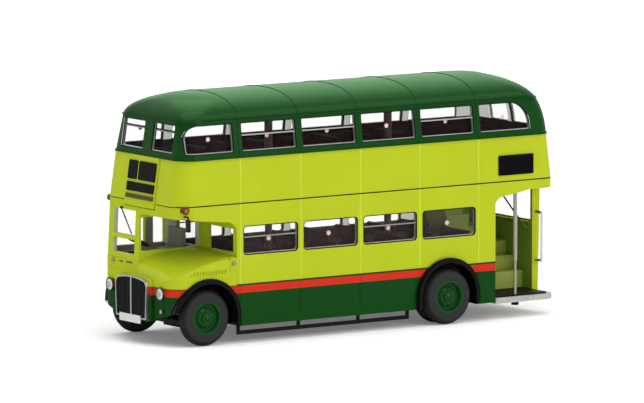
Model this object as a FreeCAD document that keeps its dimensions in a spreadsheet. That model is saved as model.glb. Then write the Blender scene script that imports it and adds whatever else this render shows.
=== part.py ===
"""A 1:76 die-cast collector's model of a half-cab double-decker bus with an open rear platform.

Millimetres. +X points to the radiator, +Y to the nearside (the platform side), +Z up, and the
origin is on the ground under the middle of the model. The model is built as the real one is:
a lower and an upper die-cast body, a bonnet casting, a plastic base plate, two seat mouldings,
clear glazing liners, small fitted trim, and two steel axles that roll in the base plate.
"""
import FreeCAD, Part
import math
import os

import Sketcher

# Every driving size, in millimetres unless the name says degrees, count or share.
SIZES = [
    # Overall frame of the model
    ("overall_length", 110.3), ("body_half_width", 16.0), ("roof_top_level", 57.45),
    ("casting_wall", 1.1), ("fit_gap", 0.05), ("cut_overrun", 1.0),
    # Places along the length: shares of the overall length, or measured from the nose or tail
    ("first_pillar_share", 0.184), ("bay_share", 0.1522), ("wheelbase_share", 0.6102),
    ("doorway_share", 0.0448), ("pillar_to_front_axle", 9.05), ("nose_to_cab_front", 2.3),
    ("nose_to_deck_front", 3.0), ("deck_front_lean", 1.5), ("window_front_lean", 1.35),
    ("tail_to_rear_wall", 0.7), ("rear_wall_flare", 0.6), ("deck_rear_lean", 1.3),
    ("nose_to_wings", 1.9),
    # Levels above the ground
    ("skirt_level", 4.2), ("skirt_flare_level", 6.1), ("skirt_flare", 0.25),
    ("deck_joint_level", 32.75), ("belt_level", 43.1), ("gutter_level", 52.1),
    ("lower_sill_level", 20.6), ("lower_window_height", 6.75),
    ("upper_sill_level", 44.55), ("upper_window_height", 6.75),
    ("canopy_level", 30.35), ("cab_joint_level", 19.0), ("saloon_floor_level", 15.2),
    # Plan corners and mouldings of the castings
    ("front_corner_radius", 4.4), ("rear_corner_radius", 3.8), ("upper_side_lean", 0.15), ("joint_gap", 0.18),
    ("window_side_lean", 1.25), ("belt_bead", 0.22), ("belt_bead_height", 0.5),
    ("gutter_bead", 0.28), ("gutter_bead_height", 0.32),
    # Roof dome
    ("front_dome_length", 11.0), ("rear_dome_length", 14.5), ("dome_corner_growth", 5.0),
    ("rear_dome_corner_growth", 3.0), ("rear_dome_power_share", 2.3), ("side_camber_power_share", 2.2),
    # Thin beads over the panel joints at each pillar
    ("panel_bead", 0.1), ("panel_bead_width", 0.32), ("bead_root", 0.3),
    # Saloon windows
    ("window_margin", 0.8), ("window_corner_radius", 0.9), ("upper_window_corner_radius", 0.45),
    ("front_quarter_reach", 14.4), ("front_quarter_radius", 3.4), ("rear_quarter_reach", 14.4),
    ("rear_quarter_radius", 5.4), ("quarter_gap", 1.45),
    ("front_window_inner", 1.75), ("front_window_outer", 10.8),
    ("rear_upper_window_inner", 0.6), ("rear_upper_window_outer", 8.4),
    # Cab, bulkhead and canopy
    ("cab_wall_y", 0.3), ("cab_wall_thickness", 0.8), ("bulkhead_thickness", 1.0),
    ("windscreen_inner_y", 1.65), ("windscreen_outer_y", 10.75), ("windscreen_sill_level", 20.1),
    ("windscreen_bar_level", 23.5), ("windscreen_bar_height", 0.95),
    ("windscreen_corner_radius", 0.35), ("canopy_plate_thickness", 0.9),
    ("canopy_rear_drop", 1.75), ("gusset_length", 3.2), ("gusset_level", 26.7),
    ("cab_window_front_gap", 0.75), ("cab_window_rear_gap", 0.25),
    ("cab_glass_sill_level", 21.2), ("cab_glass_top_level", 29.0),
    ("bulkhead_window_inner_y", 3.7), ("bulkhead_window_outer_y", 14.4),
    ("bulkhead_window_sill_level", 21.1), ("bulkhead_window_top_level", 26.7),
    ("driver_window_outer_y", 9.7), ("side_cab_window_length", 8.2), ("side_cab_post", 2.1),
    ("cab_door_window_length", 3.3),
    # Platform doorway and rear wall
    ("rear_wall_thickness", 1.7), ("rear_wall_end_y", 9.1), ("doorway_head_level", 30.4),
    ("doorway_shoulder_level", 27.7), ("doorway_shoulder_length", 3.4),
    ("doorway_crown_length", 6.5), ("doorway_crown_level", 29.3),
    ("rear_window_sill_level", 21.4), ("rear_window_inner_y", 8.3),
    ("rear_window_offside_y", 9.6), ("rear_bulkhead_depth", 8.0), ("platform_level", 5.1),
    ("canopy_rear_plate", 0.8),
    # Bonnet and wings
    ("bonnet_top_level", 20.95), ("bonnet_nose_level", 15.6), ("bonnet_edge_level", 20.3),
    ("bonnet_edge_nose_level", 14.9), ("bonnet_edge_radius", 1.6), ("bonnet_edge_spread", 0.3),
    ("bonnet_power_share", 3.0), ("bonnet_edge_power_share", 1.5),
    ("wing_corner_radius", 5.0), ("engine_bay_top_level", 15.0), ("wing_top_level", 16.3),
    ("wing_top_fall", 1.2), ("apron_bottom_level", 5.2), ("apron_corner_level", 8.9),
    ("apron_corner_y", 4.5), ("apron_reach", 3.4),
    ("end_panel_length", 1.8), ("end_panel_foot_level", 17.0), ("end_panel_proud", 0.12),
    ("bonnet_vent_rear_gap", 3.0), ("bonnet_vent_length", 11.2), ("bonnet_vent_level", 16.6),
    ("bonnet_vent_height", 0.9), ("bonnet_vent_count", 13), ("bonnet_vent_slot", 0.5),
    ("bonnet_vent_depth", 0.2),
    # Wheel arches, mudguards and wheels
    ("arch_radius", 8.2), ("arch_depth", 8.2), ("arch_rise", 0.3), ("guard_flange_width", 0.75),
    ("front_guard_depth", 0.45), ("rear_guard_depth", 0.8), ("guard_sleeve_thickness", 0.4),
    ("guard_sleeve_depth", 4.0), ("guard_flange_rounding", 0.3),
    ("guard_foot_level", 4.35), ("arch_keep_y", 9.0),
    ("tyre_radius", 6.6), ("tyre_width", 3.0), ("tyre_bead_radius", 4.05),
    ("tyre_shoulder", 0.7), ("tyre_crown", 0.25), ("front_wheel_face_y", 15.6),
    ("rear_wheel_face_y", 16.8), ("wheel_side_gap", 0.4),
    ("twin_gap", 0.5),
    ("axle_radius", 0.8), ("axle_running_gap", 0.06), ("axle_end_cover", 1.1),
    ("hub_dish_depth", 0.9), ("hub_rim_width", 0.55), ("hub_boss_radius", 1.25),
    ("hub_boss_length", 0.9), ("hub_step_radius", 2.6), ("hub_stud_radius", 0.2),
    ("hub_stud_count", 8), ("hub_stud_circle", 1.9), ("hub_stud_length", 0.3),
    ("rear_dish_depth", 1.0),
    # Base plate
    ("base_thickness", 1.0), ("base_level", 4.5), ("base_side_gap", 0.2),
    ("base_wheel_room", 8.3), ("base_front_reach", 3.4),
    ("bearing_thickness", 1.6), ("bearing_length", 3.6), ("bearing_top_level", 8.9),
    ("sump_length", 9.0), ("sump_half_width", 3.4), ("sump_depth", 1.4), ("sump_front_gap", 9.0),
    ("gearbox_length", 9.0), ("gearbox_half_width", 2.6), ("gearbox_depth", 1.0),
    ("gearbox_setback", 30.0), ("shaft_radius", 0.55), ("tank_length", 13.0),
    ("tank_half_width", 2.4), ("tank_y", -8.0), ("tank_depth", 1.3), ("tank_setback", 2.0),
    ("exhaust_radius", 0.5), ("exhaust_y", 7.4), ("silencer_radius", 0.85),
    ("silencer_length", 14.0), ("silencer_setback", 6.0), ("differential_radius", 1.9),
    ("frame_rail_y", 5.2), ("frame_rail_width", 0.7), ("frame_rail_depth", 0.35),
    # Fixing posts and the screws that hold the base plate to them
    ("front_post_setback", 18.4), ("rear_post_setback", 52.2), ("post_top_radius", 1.0),
    ("post_foot_radius", 0.75), ("post_hole_gap", 0.15), ("screw_head_radius", 1.3),
    ("screw_head_height", 0.45), ("screw_slot_width", 0.3), ("screw_slot_depth", 0.25),
    # Guard rails under the skirts
    ("rail_bottom_level", 1.8), ("rail_height", 0.85), ("rail_width", 0.55), ("rail_y", 13.2),
    ("rail_post_width", 0.7), ("rail_front_setback", 0.6), ("rail_rear_reach", 1.2),
    # Interior mouldings
    ("lining_thickness", 0.5), ("tray_floor_thickness", 0.9), ("lining_top_gap", 0.1),
    ("gangway_half_width", 3.0), ("gangway_level", 9.8), ("seat_pitch", 9.3),
    ("seat_width", 11.0), ("seat_back_thickness", 1.1), ("upper_seat_back_height", 9.8),
    ("lower_seat_back_height", 5.4), ("upper_cushion_height", 4.6),
    ("lower_cushion_height", 2.4), ("cushion_length", 5.4), ("seat_back_radius", 0.5),
    ("seat_side_gap", 0.4), ("first_upper_seat_setback", 11.6), ("first_lower_seat_setback", 5.0),
    ("upper_floor_gap", 0.25), ("stairwell_side_gap", 0.5), ("tray_gap", 0.12),
    # Glazing and window frames
    ("glass_thickness", 0.5), ("glass_rise", 0.7),
    ("gate_pip_radius", 0.53), ("gate_pip_proud", 0.3),
    # Radiator and lamps
    ("grille_half_width_top", 6.7), ("grille_half_width_bottom", 6.3),
    ("grille_shoulder_level", 14.6), ("grille_crown_level", 15.65), ("grille_foot_level", 5.9),
    ("grille_frame_width", 0.34), ("grille_depth", 0.8), ("grille_slat_pitch", 0.52),
    ("grille_slat_width", 0.26), ("grille_slat_depth", 0.35), ("grille_back_depth", 0.35),
    ("grille_bar_width", 0.5), ("grille_corner_radius", 1.1), ("nose_half_width", 7.4),
    ("nose_crown_drop", 0.25), ("nose_foot_level", 5.4), ("nose_depth", 0.7),
    ("plate_length", 8.65), ("plate_height", 1.8), ("plate_thickness", 0.3),
    ("plate_bottom_level", 4.9), ("headlamp_y", 10.7), ("headlamp_level", 12.4),
    ("headlamp_radius", 1.6), ("headlamp_lens_radius", 1.3), ("headlamp_length", 0.55),
    ("headlamp_lens_bulge", 0.4), ("fog_lamp_y", 11.1), ("fog_lamp_level", 8.3),
    ("fog_lamp_radius", 0.75), ("fog_lamp_length", 0.5), ("side_lamp_radius", 0.55),
    ("side_lamp_length", 0.5), ("side_lamp_y", 10.4), ("side_lamp_level", 18.2),
    ("bonnet_lamp_setback", 0.9), ("bonnet_lamp_level", 18.9), ("bonnet_lamp_radius", 0.5),
    ("indicator_level", 32.0), ("indicator_radius", 0.85), ("indicator_face_y", 16.3),
    ("indicator_root_y", 14.6), ("indicator_setback", 5.15), ("mirror_level", 28.6),
    ("mirror_arm_level", 30.6), ("mirror_height", 2.9),
    ("mirror_width", 1.4), ("mirror_thickness", 0.5), ("mirror_reach", 0.95),
    ("mirror_arm_radius", 0.2),
    ("tail_lamp_y", 12.0), ("tail_lamp_level", 12.6), ("tail_lamp_radius", 0.8),
    ("tail_lamp_length", 0.2), ("rear_plate_y", -6.5), ("rear_plate_level", 14.6),
    ("wiper_radius", 0.15), ("wiper_pivot_y", -7.3), ("wiper_tip_y", -2.9),
    ("wiper_tip_level", 24.9), ("wiper_pivot_radius", 0.3),
    # Blind glasses and cowl
    ("cowl_half_width", 6.3), ("cowl_depth", 0.3), ("cowl_drop", 1.25),
    ("blind_top_level", 42.1), ("blind_upper_height", 4.4), ("blind_gap", 0.65),
    ("blind_lower_height", 2.1), ("blind_thickness", 0.18), ("number_blind_width", 3.7),
    ("blind_outer_y", 5.75), ("vent_height", 1.0),
    ("side_blind_length", 10.0), ("side_blind_height", 4.75), ("side_blind_setback", 0.8),
    ("side_blind_level", 34.2), ("rear_blind_width", 9.0), ("rear_blind_height", 4.4),
    ("rear_blind_level", 36.6),
    # Platform, staircase and rails
    ("platform_edge_height", 1.3), ("platform_edge_width", 0.8), ("platform_corner_radius", 3.3),
    ("platform_mat_depth", 0.35),
    ("stair_first_y", 5.5), ("stair_tread", 3.5), ("stair_first_riser", 4.1), ("stair_riser", 3.2),
    ("stair_cross_step_count", 3), ("stair_cross_length", 8.0), ("stair_forward_tread", 1.6),
    ("stair_forward_step_count", 4), ("stair_width", 8.6), ("stair_wall_gap", 0.1),
    ("stair_screen_thickness", 0.6), ("stair_screen_level", 22.5), ("pole_radius", 0.48),
    ("pole_foot_radius", 0.32), ("pole_sleeve_level", 13.6), ("pole_x_from_doorway", 6.4),
    ("pole_edge_inset", 1.0), ("pole_top_level", 29.65), ("grab_radius", 0.34),
    ("grab_bottom_level", 12.1), ("grab_top_level", 24.2), ("grab_standoff", 2.3),
    ("grab_setback", 0.5), ("pole_rivet_radius", 0.9), ("pole_rivet_height", 0.7),
    ("handrail_radius", 0.2), ("handrail_foot_y", 7.4), ("handrail_foot_level", 20.25),
    ("handrail_head_y", -6.8), ("handrail_head_level", 30.75), ("handrail_standoff", 0.9),
    ("handrail_boss_share", 1.4),
    # Cab fittings
    ("wheel_ring_radius", 2.6), ("wheel_ring_tube", 0.28), ("wheel_hub_radius", 0.5),
    ("steering_rake_degrees", 25.0), ("steering_x_back", 5.2), ("steering_level", 22.2),
    ("steering_y", -7.6), ("dash_depth", 2.2), ("dash_height", 2.4),
    ("driver_seat_width", 5.6), ("driver_seat_depth", 4.6), ("driver_seat_height", 3.4),
    ("driver_back_height", 8.2), ("driver_back_thickness", 1.2), ("driver_seat_gap", 0.5),
    ("dash_gap", 0.6),
    ("cab_floor_level", 16.0), ("cab_floor_thickness", 0.8),
]


class Size:
    """A length that knows both its number and the spreadsheet expression it comes from."""

    def __init__(self, value, text):
        self.value = float(value)
        self.text = text

    def __float__(self):
        return self.value

    def _join(self, other, sign, swap=False):
        other = other if isinstance(other, Size) else Size(other, repr(float(other)))
        a, b = (other, self) if swap else (self, other)
        numbers = {"+": a.value + b.value, "-": a.value - b.value, "*": a.value * b.value}
        value = a.value / b.value if sign == "/" else numbers[sign]
        return Size(value, "({} {} {})".format(a.text, sign, b.text))

    def __add__(self, other):
        return self._join(other, "+")

    def __radd__(self, other):
        return self._join(other, "+", True)

    def __sub__(self, other):
        return self._join(other, "-")

    def __rsub__(self, other):
        return self._join(other, "-", True)

    def __mul__(self, other):
        return self._join(other, "*")

    def __rmul__(self, other):
        return self._join(other, "*", True)

    def __truediv__(self, other):
        return self._join(other, "/")

    def __neg__(self):
        return 0 - self


class Dims:
    """The spreadsheet's cells by name."""

    def __init__(self, doc):
        self.sheet = doc.addObject("Spreadsheet::Sheet", "dims")
        for row, (alias, value) in enumerate(SIZES, start=1):
            self.sheet.set("A{}".format(row), alias)
            self.sheet.set("B{}".format(row), str(value))
            self.sheet.setAlias("B{}".format(row), alias)
        doc.recompute()
        self.values = {alias: float(self.sheet.get(alias)) for alias, _ in SIZES}

    def __getattr__(self, alias):
        return Size(self.values[alias], "dims." + alias)


doc = FreeCAD.newDocument("double_decker_bus_model")
d = Dims(doc)
NODES = []
V = FreeCAD.Vector
X_AXIS, Y_AXIS, Z_AXIS = V(1, 0, 0), V(0, 1, 0), V(0, 0, 1)

# Places that many sub-parts share, worked out from the sizes
nose_x = d.overall_length / 2
tail_x = -d.overall_length / 2
bay_pitch = d.overall_length * d.bay_share
pillar_x = nose_x - d.overall_length * d.first_pillar_share
front_axle_x = pillar_x + d.pillar_to_front_axle
rear_axle_x = front_axle_x - d.overall_length * d.wheelbase_share
rear_wall_x = tail_x + d.tail_to_rear_wall
deck_rear_x = rear_wall_x - d.rear_wall_flare
cab_front_x = nose_x - d.nose_to_cab_front
deck_front_x = nose_x - d.nose_to_deck_front
wings_front_x = nose_x - d.nose_to_wings
doorway_x = pillar_x - 4 * bay_pitch - d.overall_length * d.doorway_share
bulkhead_x = pillar_x + d.bulkhead_thickness + d.fit_gap
inner_half_width = d.body_half_width - d.casting_wall
arch_level = d.tyre_radius + d.arch_rise
lower_head = d.lower_sill_level + d.lower_window_height
upper_head = d.upper_sill_level + d.upper_window_height


def vec(x, y, z):
    return V(float(x), float(y), float(z))


def bind(obj, prop, size):
    """Ties one property of a document object to the spreadsheet."""
    size = size if isinstance(size, Size) else Size(size, repr(float(size)))
    obj.setExpression(prop, size.text)


def place(obj, x, y, z):
    for axis, size in (("x", x), ("y", y), ("z", z)):
        bind(obj, "Placement.Base." + axis, size)


def box(name, corner, size):
    obj = doc.addObject("Part::Box", name)
    for prop, length in zip(("Length", "Width", "Height"), size):
        bind(obj, prop, length)
    place(obj, *corner)
    return obj


TURN_TO = {"x": FreeCAD.Rotation(Y_AXIS, 90), "y": FreeCAD.Rotation(X_AXIS, -90),
           "z": FreeCAD.Rotation()}


def cylinder(name, radius, length, base, along="z"):
    obj = doc.addObject("Part::Cylinder", name)
    bind(obj, "Radius", radius)
    bind(obj, "Height", length)
    obj.Placement = FreeCAD.Placement(vec(*base), TURN_TO[along])
    place(obj, *base)
    return obj


def fuse(name, parts):
    obj = doc.addObject("Part::MultiFuse", name)
    obj.Shapes = parts
    obj.Refine = True
    return obj


def cut(name, base, tools):
    obj = doc.addObject("Part::Cut", name)
    obj.Base = base
    obj.Tool = tools[0] if len(tools) == 1 else fuse(name + "_tools", tools)
    return obj


def shaped(name, shape):
    obj = doc.addObject("Part::Feature", name)
    obj.Shape = shape
    return obj


def node(obj, label):
    obj.Label = label
    NODES.append(obj)
    return obj


def fix_point(sketch, index, position, x, y, tag):
    """Pins one sketch point by two named distances bound to the spreadsheet."""
    for kind, size in (("DistanceX", x), ("DistanceY", y)):
        number = sketch.addConstraint(
            Sketcher.Constraint(kind, -1, 1, index, position, float(size)))
        sketch.renameConstraint(number, "{}_{}".format(kind[-1].lower(), tag))
        if isinstance(size, Size):
            sketch.setExpression("Constraints.{}_{}".format(kind[-1].lower(), tag), size.text)


def outline_sketch(body, plane, points, name):
    """A closed straight-sided outline on one of the body's origin planes."""
    sketch = body.newObject("Sketcher::SketchObject", name)
    origin_plane = [f for f in body.Origin.OriginFeatures if f.Role == plane][0]
    sketch.AttachmentSupport = [(origin_plane, "")]
    sketch.MapMode = "FlatFace"
    flat = [V(float(x), float(y), 0) for x, y in points]
    for i, start in enumerate(flat):
        sketch.addGeometry(Part.LineSegment(start, flat[(i + 1) % len(flat)]), False)
    for i in range(len(flat)):
        sketch.addConstraint(Sketcher.Constraint("Coincident", i, 2, (i + 1) % len(flat), 1))
    for i, (x, y) in enumerate(points):
        fix_point(sketch, i, 1, x, y, "p{}".format(i))
    return sketch


def revolved(name, profile, base):
    """A PartDesign body turned about its own Y axis from a (radius, y) profile."""
    body = doc.addObject("PartDesign::Body", name)
    sketch = outline_sketch(body, "XY_Plane", profile, name + "_profile")
    turn = body.newObject("PartDesign::Revolution", name + "_turn")
    turn.Profile = sketch
    turn.ReferenceAxis = (sketch, ["V_Axis"])
    turn.Angle = 360
    place(body, *base)
    return body


def padded(name, plane, points, length, base=(0, 0, 0), reverse=False):
    """A PartDesign body padded from a straight-sided outline."""
    body = doc.addObject("PartDesign::Body", name)
    sketch = outline_sketch(body, plane, points, name + "_outline")
    pad = body.newObject("PartDesign::Pad", name + "_pad")
    pad.Profile = sketch
    pad.Reversed = reverse
    bind(pad, "Length", length)
    place(body, *base)
    return body


def plan_wire(front, rear, half_width, front_radius, rear_radius, level):
    """A rounded rectangle seen from above: eight edges, always in the same order."""
    xf, xr, w, z = float(front), float(rear), float(half_width), float(level)
    rf, rr = float(front_radius), float(rear_radius)

    def corner(cx, cy, radius, start):
        a, m, b = (math.radians(start + step) for step in (0, 45, 90))
        spots = [V(cx + radius * math.cos(t), cy + radius * math.sin(t), z) for t in (a, m, b)]
        return Part.Arc(*spots).toShape(), spots[0], spots[2]

    corners = [corner(xf - rf, w - rf, rf, 0), corner(xr + rr, w - rr, rr, 90),
               corner(xr + rr, -w + rr, rr, 180), corner(xf - rf, -w + rf, rf, 270)]
    edges = []
    for i, (arc, _, end) in enumerate(corners):
        edges.append(arc)
        edges.append(Part.LineSegment(end, corners[(i + 1) % 4][1]).toShape())
    return Part.Wire(edges)


def stack(sections, ruled):
    """A solid through plan sections, each (front, rear, half width, radii, level)."""
    return Part.makeLoft([plan_wire(*s) for s in sections], True, ruled)


def rounded_prism(axis, a0, a1, b0, b1, radii, start, end):
    """A rounded rectangle pushed along an axis. a and b are its two other axes in order.
    radii goes round from (a0, b0) by (a1, b0) and (a1, b1) to (a0, b1)."""
    spots = [(float(a0), float(b0)), (float(a1), float(b0)), (float(a1), float(b1)),
             (float(a0), float(b1))]
    steps = [(1, 0), (0, 1), (-1, 0), (0, -1)]
    lift = {"x": lambda a, b: V(float(start), a, b), "y": lambda a, b: V(a, float(start), b),
            "z": lambda a, b: V(a, b, float(start))}[axis]
    half_turn = math.sqrt(2) / 2
    edges, first, last = [], None, None
    for i, (a, b) in enumerate(spots):
        radius = float(radii[i])
        before, after = steps[i - 1], steps[i]
        begin = (a - before[0] * radius, b - before[1] * radius)
        finish = (a + after[0] * radius, b + after[1] * radius)
        centre = (begin[0] + after[0] * radius, begin[1] + after[1] * radius)
        middle = tuple(c + (s - c) * half_turn + (f - c) * half_turn
                       for c, s, f in zip(centre, begin, finish))
        if last is not None:
            edges.append(Part.LineSegment(lift(*last), lift(*begin)).toShape())
        else:
            first = begin
        edges.append(Part.Arc(lift(*begin), lift(*middle), lift(*finish)).toShape())
        last = finish
    edges.append(Part.LineSegment(lift(*last), lift(*first)).toShape())
    reach = float(end) - float(start)
    push = {"x": X_AXIS, "y": Y_AXIS, "z": Z_AXIS}[axis] * reach
    return Part.Face(Part.Wire(edges)).extrude(push)


def block(x0, x1, y0, y1, z0, z1):
    low = vec(x0, y0, z0)
    return Part.makeBox(float(x1) - low.x, float(y1) - low.y, float(z1) - low.z, low)


def rod(start, end, radius):
    a, b = vec(*start), vec(*end)
    return Part.makeCylinder(float(radius), (b - a).Length, a, b - a)


def both_sides(shape):
    """The shape and its mirror image across the middle of the bus."""
    return [shape, shape.mirror(V(0, 0, 0), Y_AXIS)]


def dome_share(share, power):
    """The half width left at a share of the dome's rise, on a superellipse."""
    return (1 - share ** power) ** (1 / power)


# The castings' plan outline at each level


def upper_outline(level, inset=0.0, rise_loss=0.0):
    """Front, rear, half width and corner radii of the upper casting at a level."""
    joint, belt, gutter = (float(s) for s in (d.deck_joint_level, d.belt_level, d.gutter_level))
    top = float(d.roof_top_level)
    lift = top - gutter
    z = float(level)
    shape_z = min(gutter + (z - gutter) * lift / (lift - rise_loss), top) if z > gutter else z
    if z <= belt:
        share = (z - joint) / (belt - joint)
        front = float(deck_front_x) - float(d.deck_front_lean) * share
        rear = float(deck_rear_x) + float(d.deck_rear_lean) * share
        half = float(d.body_half_width) - float(d.upper_side_lean) * share
    else:
        share = min((z - belt) / (gutter - belt), 1.0)
        front = float(deck_front_x - d.deck_front_lean) - float(d.window_front_lean) * share
        rear_share = (shape_z - belt) / (top - belt)
        rear = (float(deck_rear_x + d.deck_rear_lean)
                + float(d.rear_dome_length)
                * (1 - dome_share(rear_share, float(d.rear_dome_power_share))))
        half = float(d.body_half_width - d.upper_side_lean) - float(d.window_side_lean) * share
    front_radius, rear_radius = float(d.front_corner_radius), float(d.rear_corner_radius)
    if shape_z > gutter:
        rise = (shape_z - gutter) / lift
        front -= float(d.front_dome_length) * (1 - dome_share(rise, 2))
        half *= dome_share(rise, float(d.side_camber_power_share))
        front_radius += float(d.dome_corner_growth) * rise
        rear_radius += float(d.rear_dome_corner_growth) * rise
    half -= inset
    limit = half * corner_limit_share
    return (front - inset, rear + inset, half, min(front_radius - inset * round_off_share, limit),
            min(rear_radius - inset * round_off_share, limit), z)


corner_limit_share = 0.94
level_step = 1e-7
round_off_share = 0.6
roof_level_shares = (0.0, 0.16, 0.34, 0.52, 0.68, 0.81, 0.91, 0.97, 0.992)
band_level_shares = (0.0, 0.35, 0.7, 1.0)


def upper_solid(inset, rise_loss):
    """The upper casting's outer form, or the hollow inside it when inset."""
    joint, belt, gutter = d.deck_joint_level, d.belt_level, d.gutter_level
    side = stack([upper_outline(joint, inset), upper_outline(belt, inset)], True)
    band = stack([upper_outline(float(belt) + float(gutter - belt) * s + level_step, inset)
                  for s in band_level_shares], False)
    rise = float(d.roof_top_level - gutter) - rise_loss
    roof = stack([upper_outline(float(gutter) + rise * s, inset, rise_loss)
                  for s in roof_level_shares], False)
    return side.fuse([band, roof])


def bead(level, height, proud):
    """A moulding round the upper casting, like a belt rail or gutter."""
    low, high = float(level), float(level) + float(height)
    rings = []
    for z in (low, high):
        front, rear, half, rf, rr, _ = upper_outline(z)
        p = float(proud)
        rings.append((front + p, rear - p, half + p, rf + p, rr + p, z))
    outer = stack(rings, True)
    core = [(f - 2 * float(proud), r + 2 * float(proud), h - 2 * float(proud), rf, rr, z)
            for f, r, h, rf, rr, z in rings]
    return outer.cut(stack(core, True))


def panel_beads(grown, root, low, high):
    """The thin beads over the panel joints at the five pillars, down both sides and the roof."""
    half, w = d.panel_bead_width / 2, d.body_half_width + d.cut_overrun
    slabs = [block(pillar_x - i * bay_pitch - half, pillar_x - i * bay_pitch + half, -w, w,
                   low, high) for i in range(5)]
    return [grown.common(slab).cut(root) for slab in slabs]


def bay_spans():
    """The four full side bays, from the front pillar back: (rear x, front x)."""
    spans = []
    for i in range(4):
        front = pillar_x - i * bay_pitch
        spans.append((front - bay_pitch + d.window_margin, front - d.window_margin))
    return spans


def side_window_tools(sill, head, radius):
    w = d.body_half_width + d.cut_overrun
    tools = []
    for rear, front in bay_spans():
        tools.append(rounded_prism("y", rear, front, sill, head, [radius] * 4, -w, w))
    return tools


def quarter_spans():
    """The curved-ended windows at the two ends of the upper deck: (rear x, front x)."""
    front = (pillar_x + d.quarter_gap, pillar_x + d.front_quarter_reach)
    last = pillar_x - 4 * bay_pitch
    rear = (last - d.window_margin - d.rear_quarter_reach, last - d.window_margin)
    return front, rear


def quarter_tools(shrink=0):
    w = d.body_half_width + d.cut_overrun
    small, (front, rear) = d.upper_window_corner_radius, quarter_spans()
    low, high = d.upper_sill_level + shrink, upper_head - shrink
    ahead = rounded_prism("y", front[0] + shrink, front[1] - shrink, low, high,
                          [small, small, d.front_quarter_radius - shrink, small],
                          d.front_window_outer + d.fit_gap, w)
    behind = rounded_prism("y", rear[0] + shrink, rear[1] - shrink, low, high,
                           [small, small, small, d.rear_quarter_radius - shrink],
                           d.front_window_outer + d.fit_gap, w)
    return both_sides(ahead) + both_sides(behind)


def end_window_tools(inner, outer, sill, head, radius, start, end):
    """A pair of windows in an end wall, one each side of the middle."""
    one = rounded_prism("x", inner, outer, sill, head, [radius] * 4, start, end)
    return both_sides(one)


def make_upper_body():
    outer = upper_solid(0.0, 0.0)
    hollow = upper_solid(float(d.casting_wall), float(d.casting_wall))
    shell = outer.cut(hollow)
    shell = shell.fuse([bead(d.belt_level, d.belt_bead_height, d.belt_bead),
                        bead(d.gutter_level - d.gutter_bead_height, d.gutter_bead_height,
                             d.gutter_bead)])
    cowl_top = d.belt_level
    cowl = rounded_prism("x", -d.cowl_half_width, d.cowl_half_width,
                         d.deck_joint_level - d.cowl_drop, cowl_top,
                         [d.cowl_depth] * 4, deck_front_x - d.deck_front_lean - d.casting_wall,
                         deck_front_x + d.cowl_depth)
    slope = Part.makePolygon([
        vec(deck_front_x + d.cowl_depth - d.deck_front_lean, -d.body_half_width, cowl_top),
        vec(nose_x, -d.body_half_width, cowl_top),
        vec(nose_x, -d.body_half_width, d.deck_joint_level),
        vec(deck_front_x + d.cowl_depth, -d.body_half_width, d.deck_joint_level),
        vec(deck_front_x + d.cowl_depth - d.deck_front_lean, -d.body_half_width, cowl_top)])
    cowl = cowl.cut(Part.Face(slope).extrude(Y_AXIS * (2 * float(d.body_half_width))))
    cowl = cowl.cut(hollow)
    beads = panel_beads(upper_solid(-float(d.panel_bead), -float(d.panel_bead)),
                        upper_solid(float(d.bead_root), float(d.bead_root)),
                        d.deck_joint_level, d.roof_top_level + d.cut_overrun)
    shell = shell.fuse([cowl] + beads)
    tools = side_window_tools(d.upper_sill_level, upper_head, d.upper_window_corner_radius)
    tools += quarter_tools()
    tools += end_window_tools(d.front_window_inner, d.front_window_outer, d.upper_sill_level,
                              upper_head, d.upper_window_corner_radius,
                              pillar_x + d.quarter_gap, nose_x)
    tools += end_window_tools(d.rear_upper_window_inner, d.rear_upper_window_outer,
                              d.upper_sill_level, upper_head, d.window_corner_radius,
                              tail_x - d.cut_overrun, doorway_x)
    return node(shaped("upper_body", shell.cut(tools)), "upper_body_casting")


def lower_outline(level, inset=0.0):
    """Front, rear, half width and corner radii of the lower casting at a level."""
    z, joint, skirt = float(level), float(d.deck_joint_level), float(d.skirt_level)
    share = max(0.0, (z - float(d.cab_joint_level)) / (joint - float(d.cab_joint_level)))
    front = float(cab_front_x) + (float(deck_front_x) - float(cab_front_x)) * share
    flare = float(d.skirt_flare) * max(0.0, (float(d.skirt_flare_level) - z)
                                       / (float(d.skirt_flare_level) - skirt))
    half = float(d.body_half_width) + flare - inset
    soften = inset * round_off_share
    lean = float(d.rear_wall_flare) * max(0.0, (z - skirt) / (joint - skirt))
    return (front - inset, float(rear_wall_x) - lean + inset, half,
            float(d.front_corner_radius) - soften, float(d.rear_corner_radius) - soften, z)


def lower_solid(inset, overrun=0.0):
    levels = [d.skirt_level - overrun, d.skirt_flare_level, d.cab_joint_level,
              d.deck_joint_level - d.joint_gap + overrun]
    sections = [lower_outline(z, inset) for z in levels]
    return stack(sections[:2], True).fuse([stack(sections[1:3], True), stack(sections[2:], True)])


def arch_tool(axle_x, near=True):
    """The round wheel opening through one side, open below."""
    w, depth = float(d.body_half_width) + float(d.cut_overrun), float(d.arch_depth)
    y0 = w - depth if near else -w
    centre = vec(axle_x, y0, arch_level)
    drum = Part.makeCylinder(float(d.arch_radius), depth, centre, Y_AXIS)
    r = d.arch_radius
    return drum.fuse(block(axle_x - r, axle_x + r, y0, y0 + depth, -d.cut_overrun, arch_level))


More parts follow.
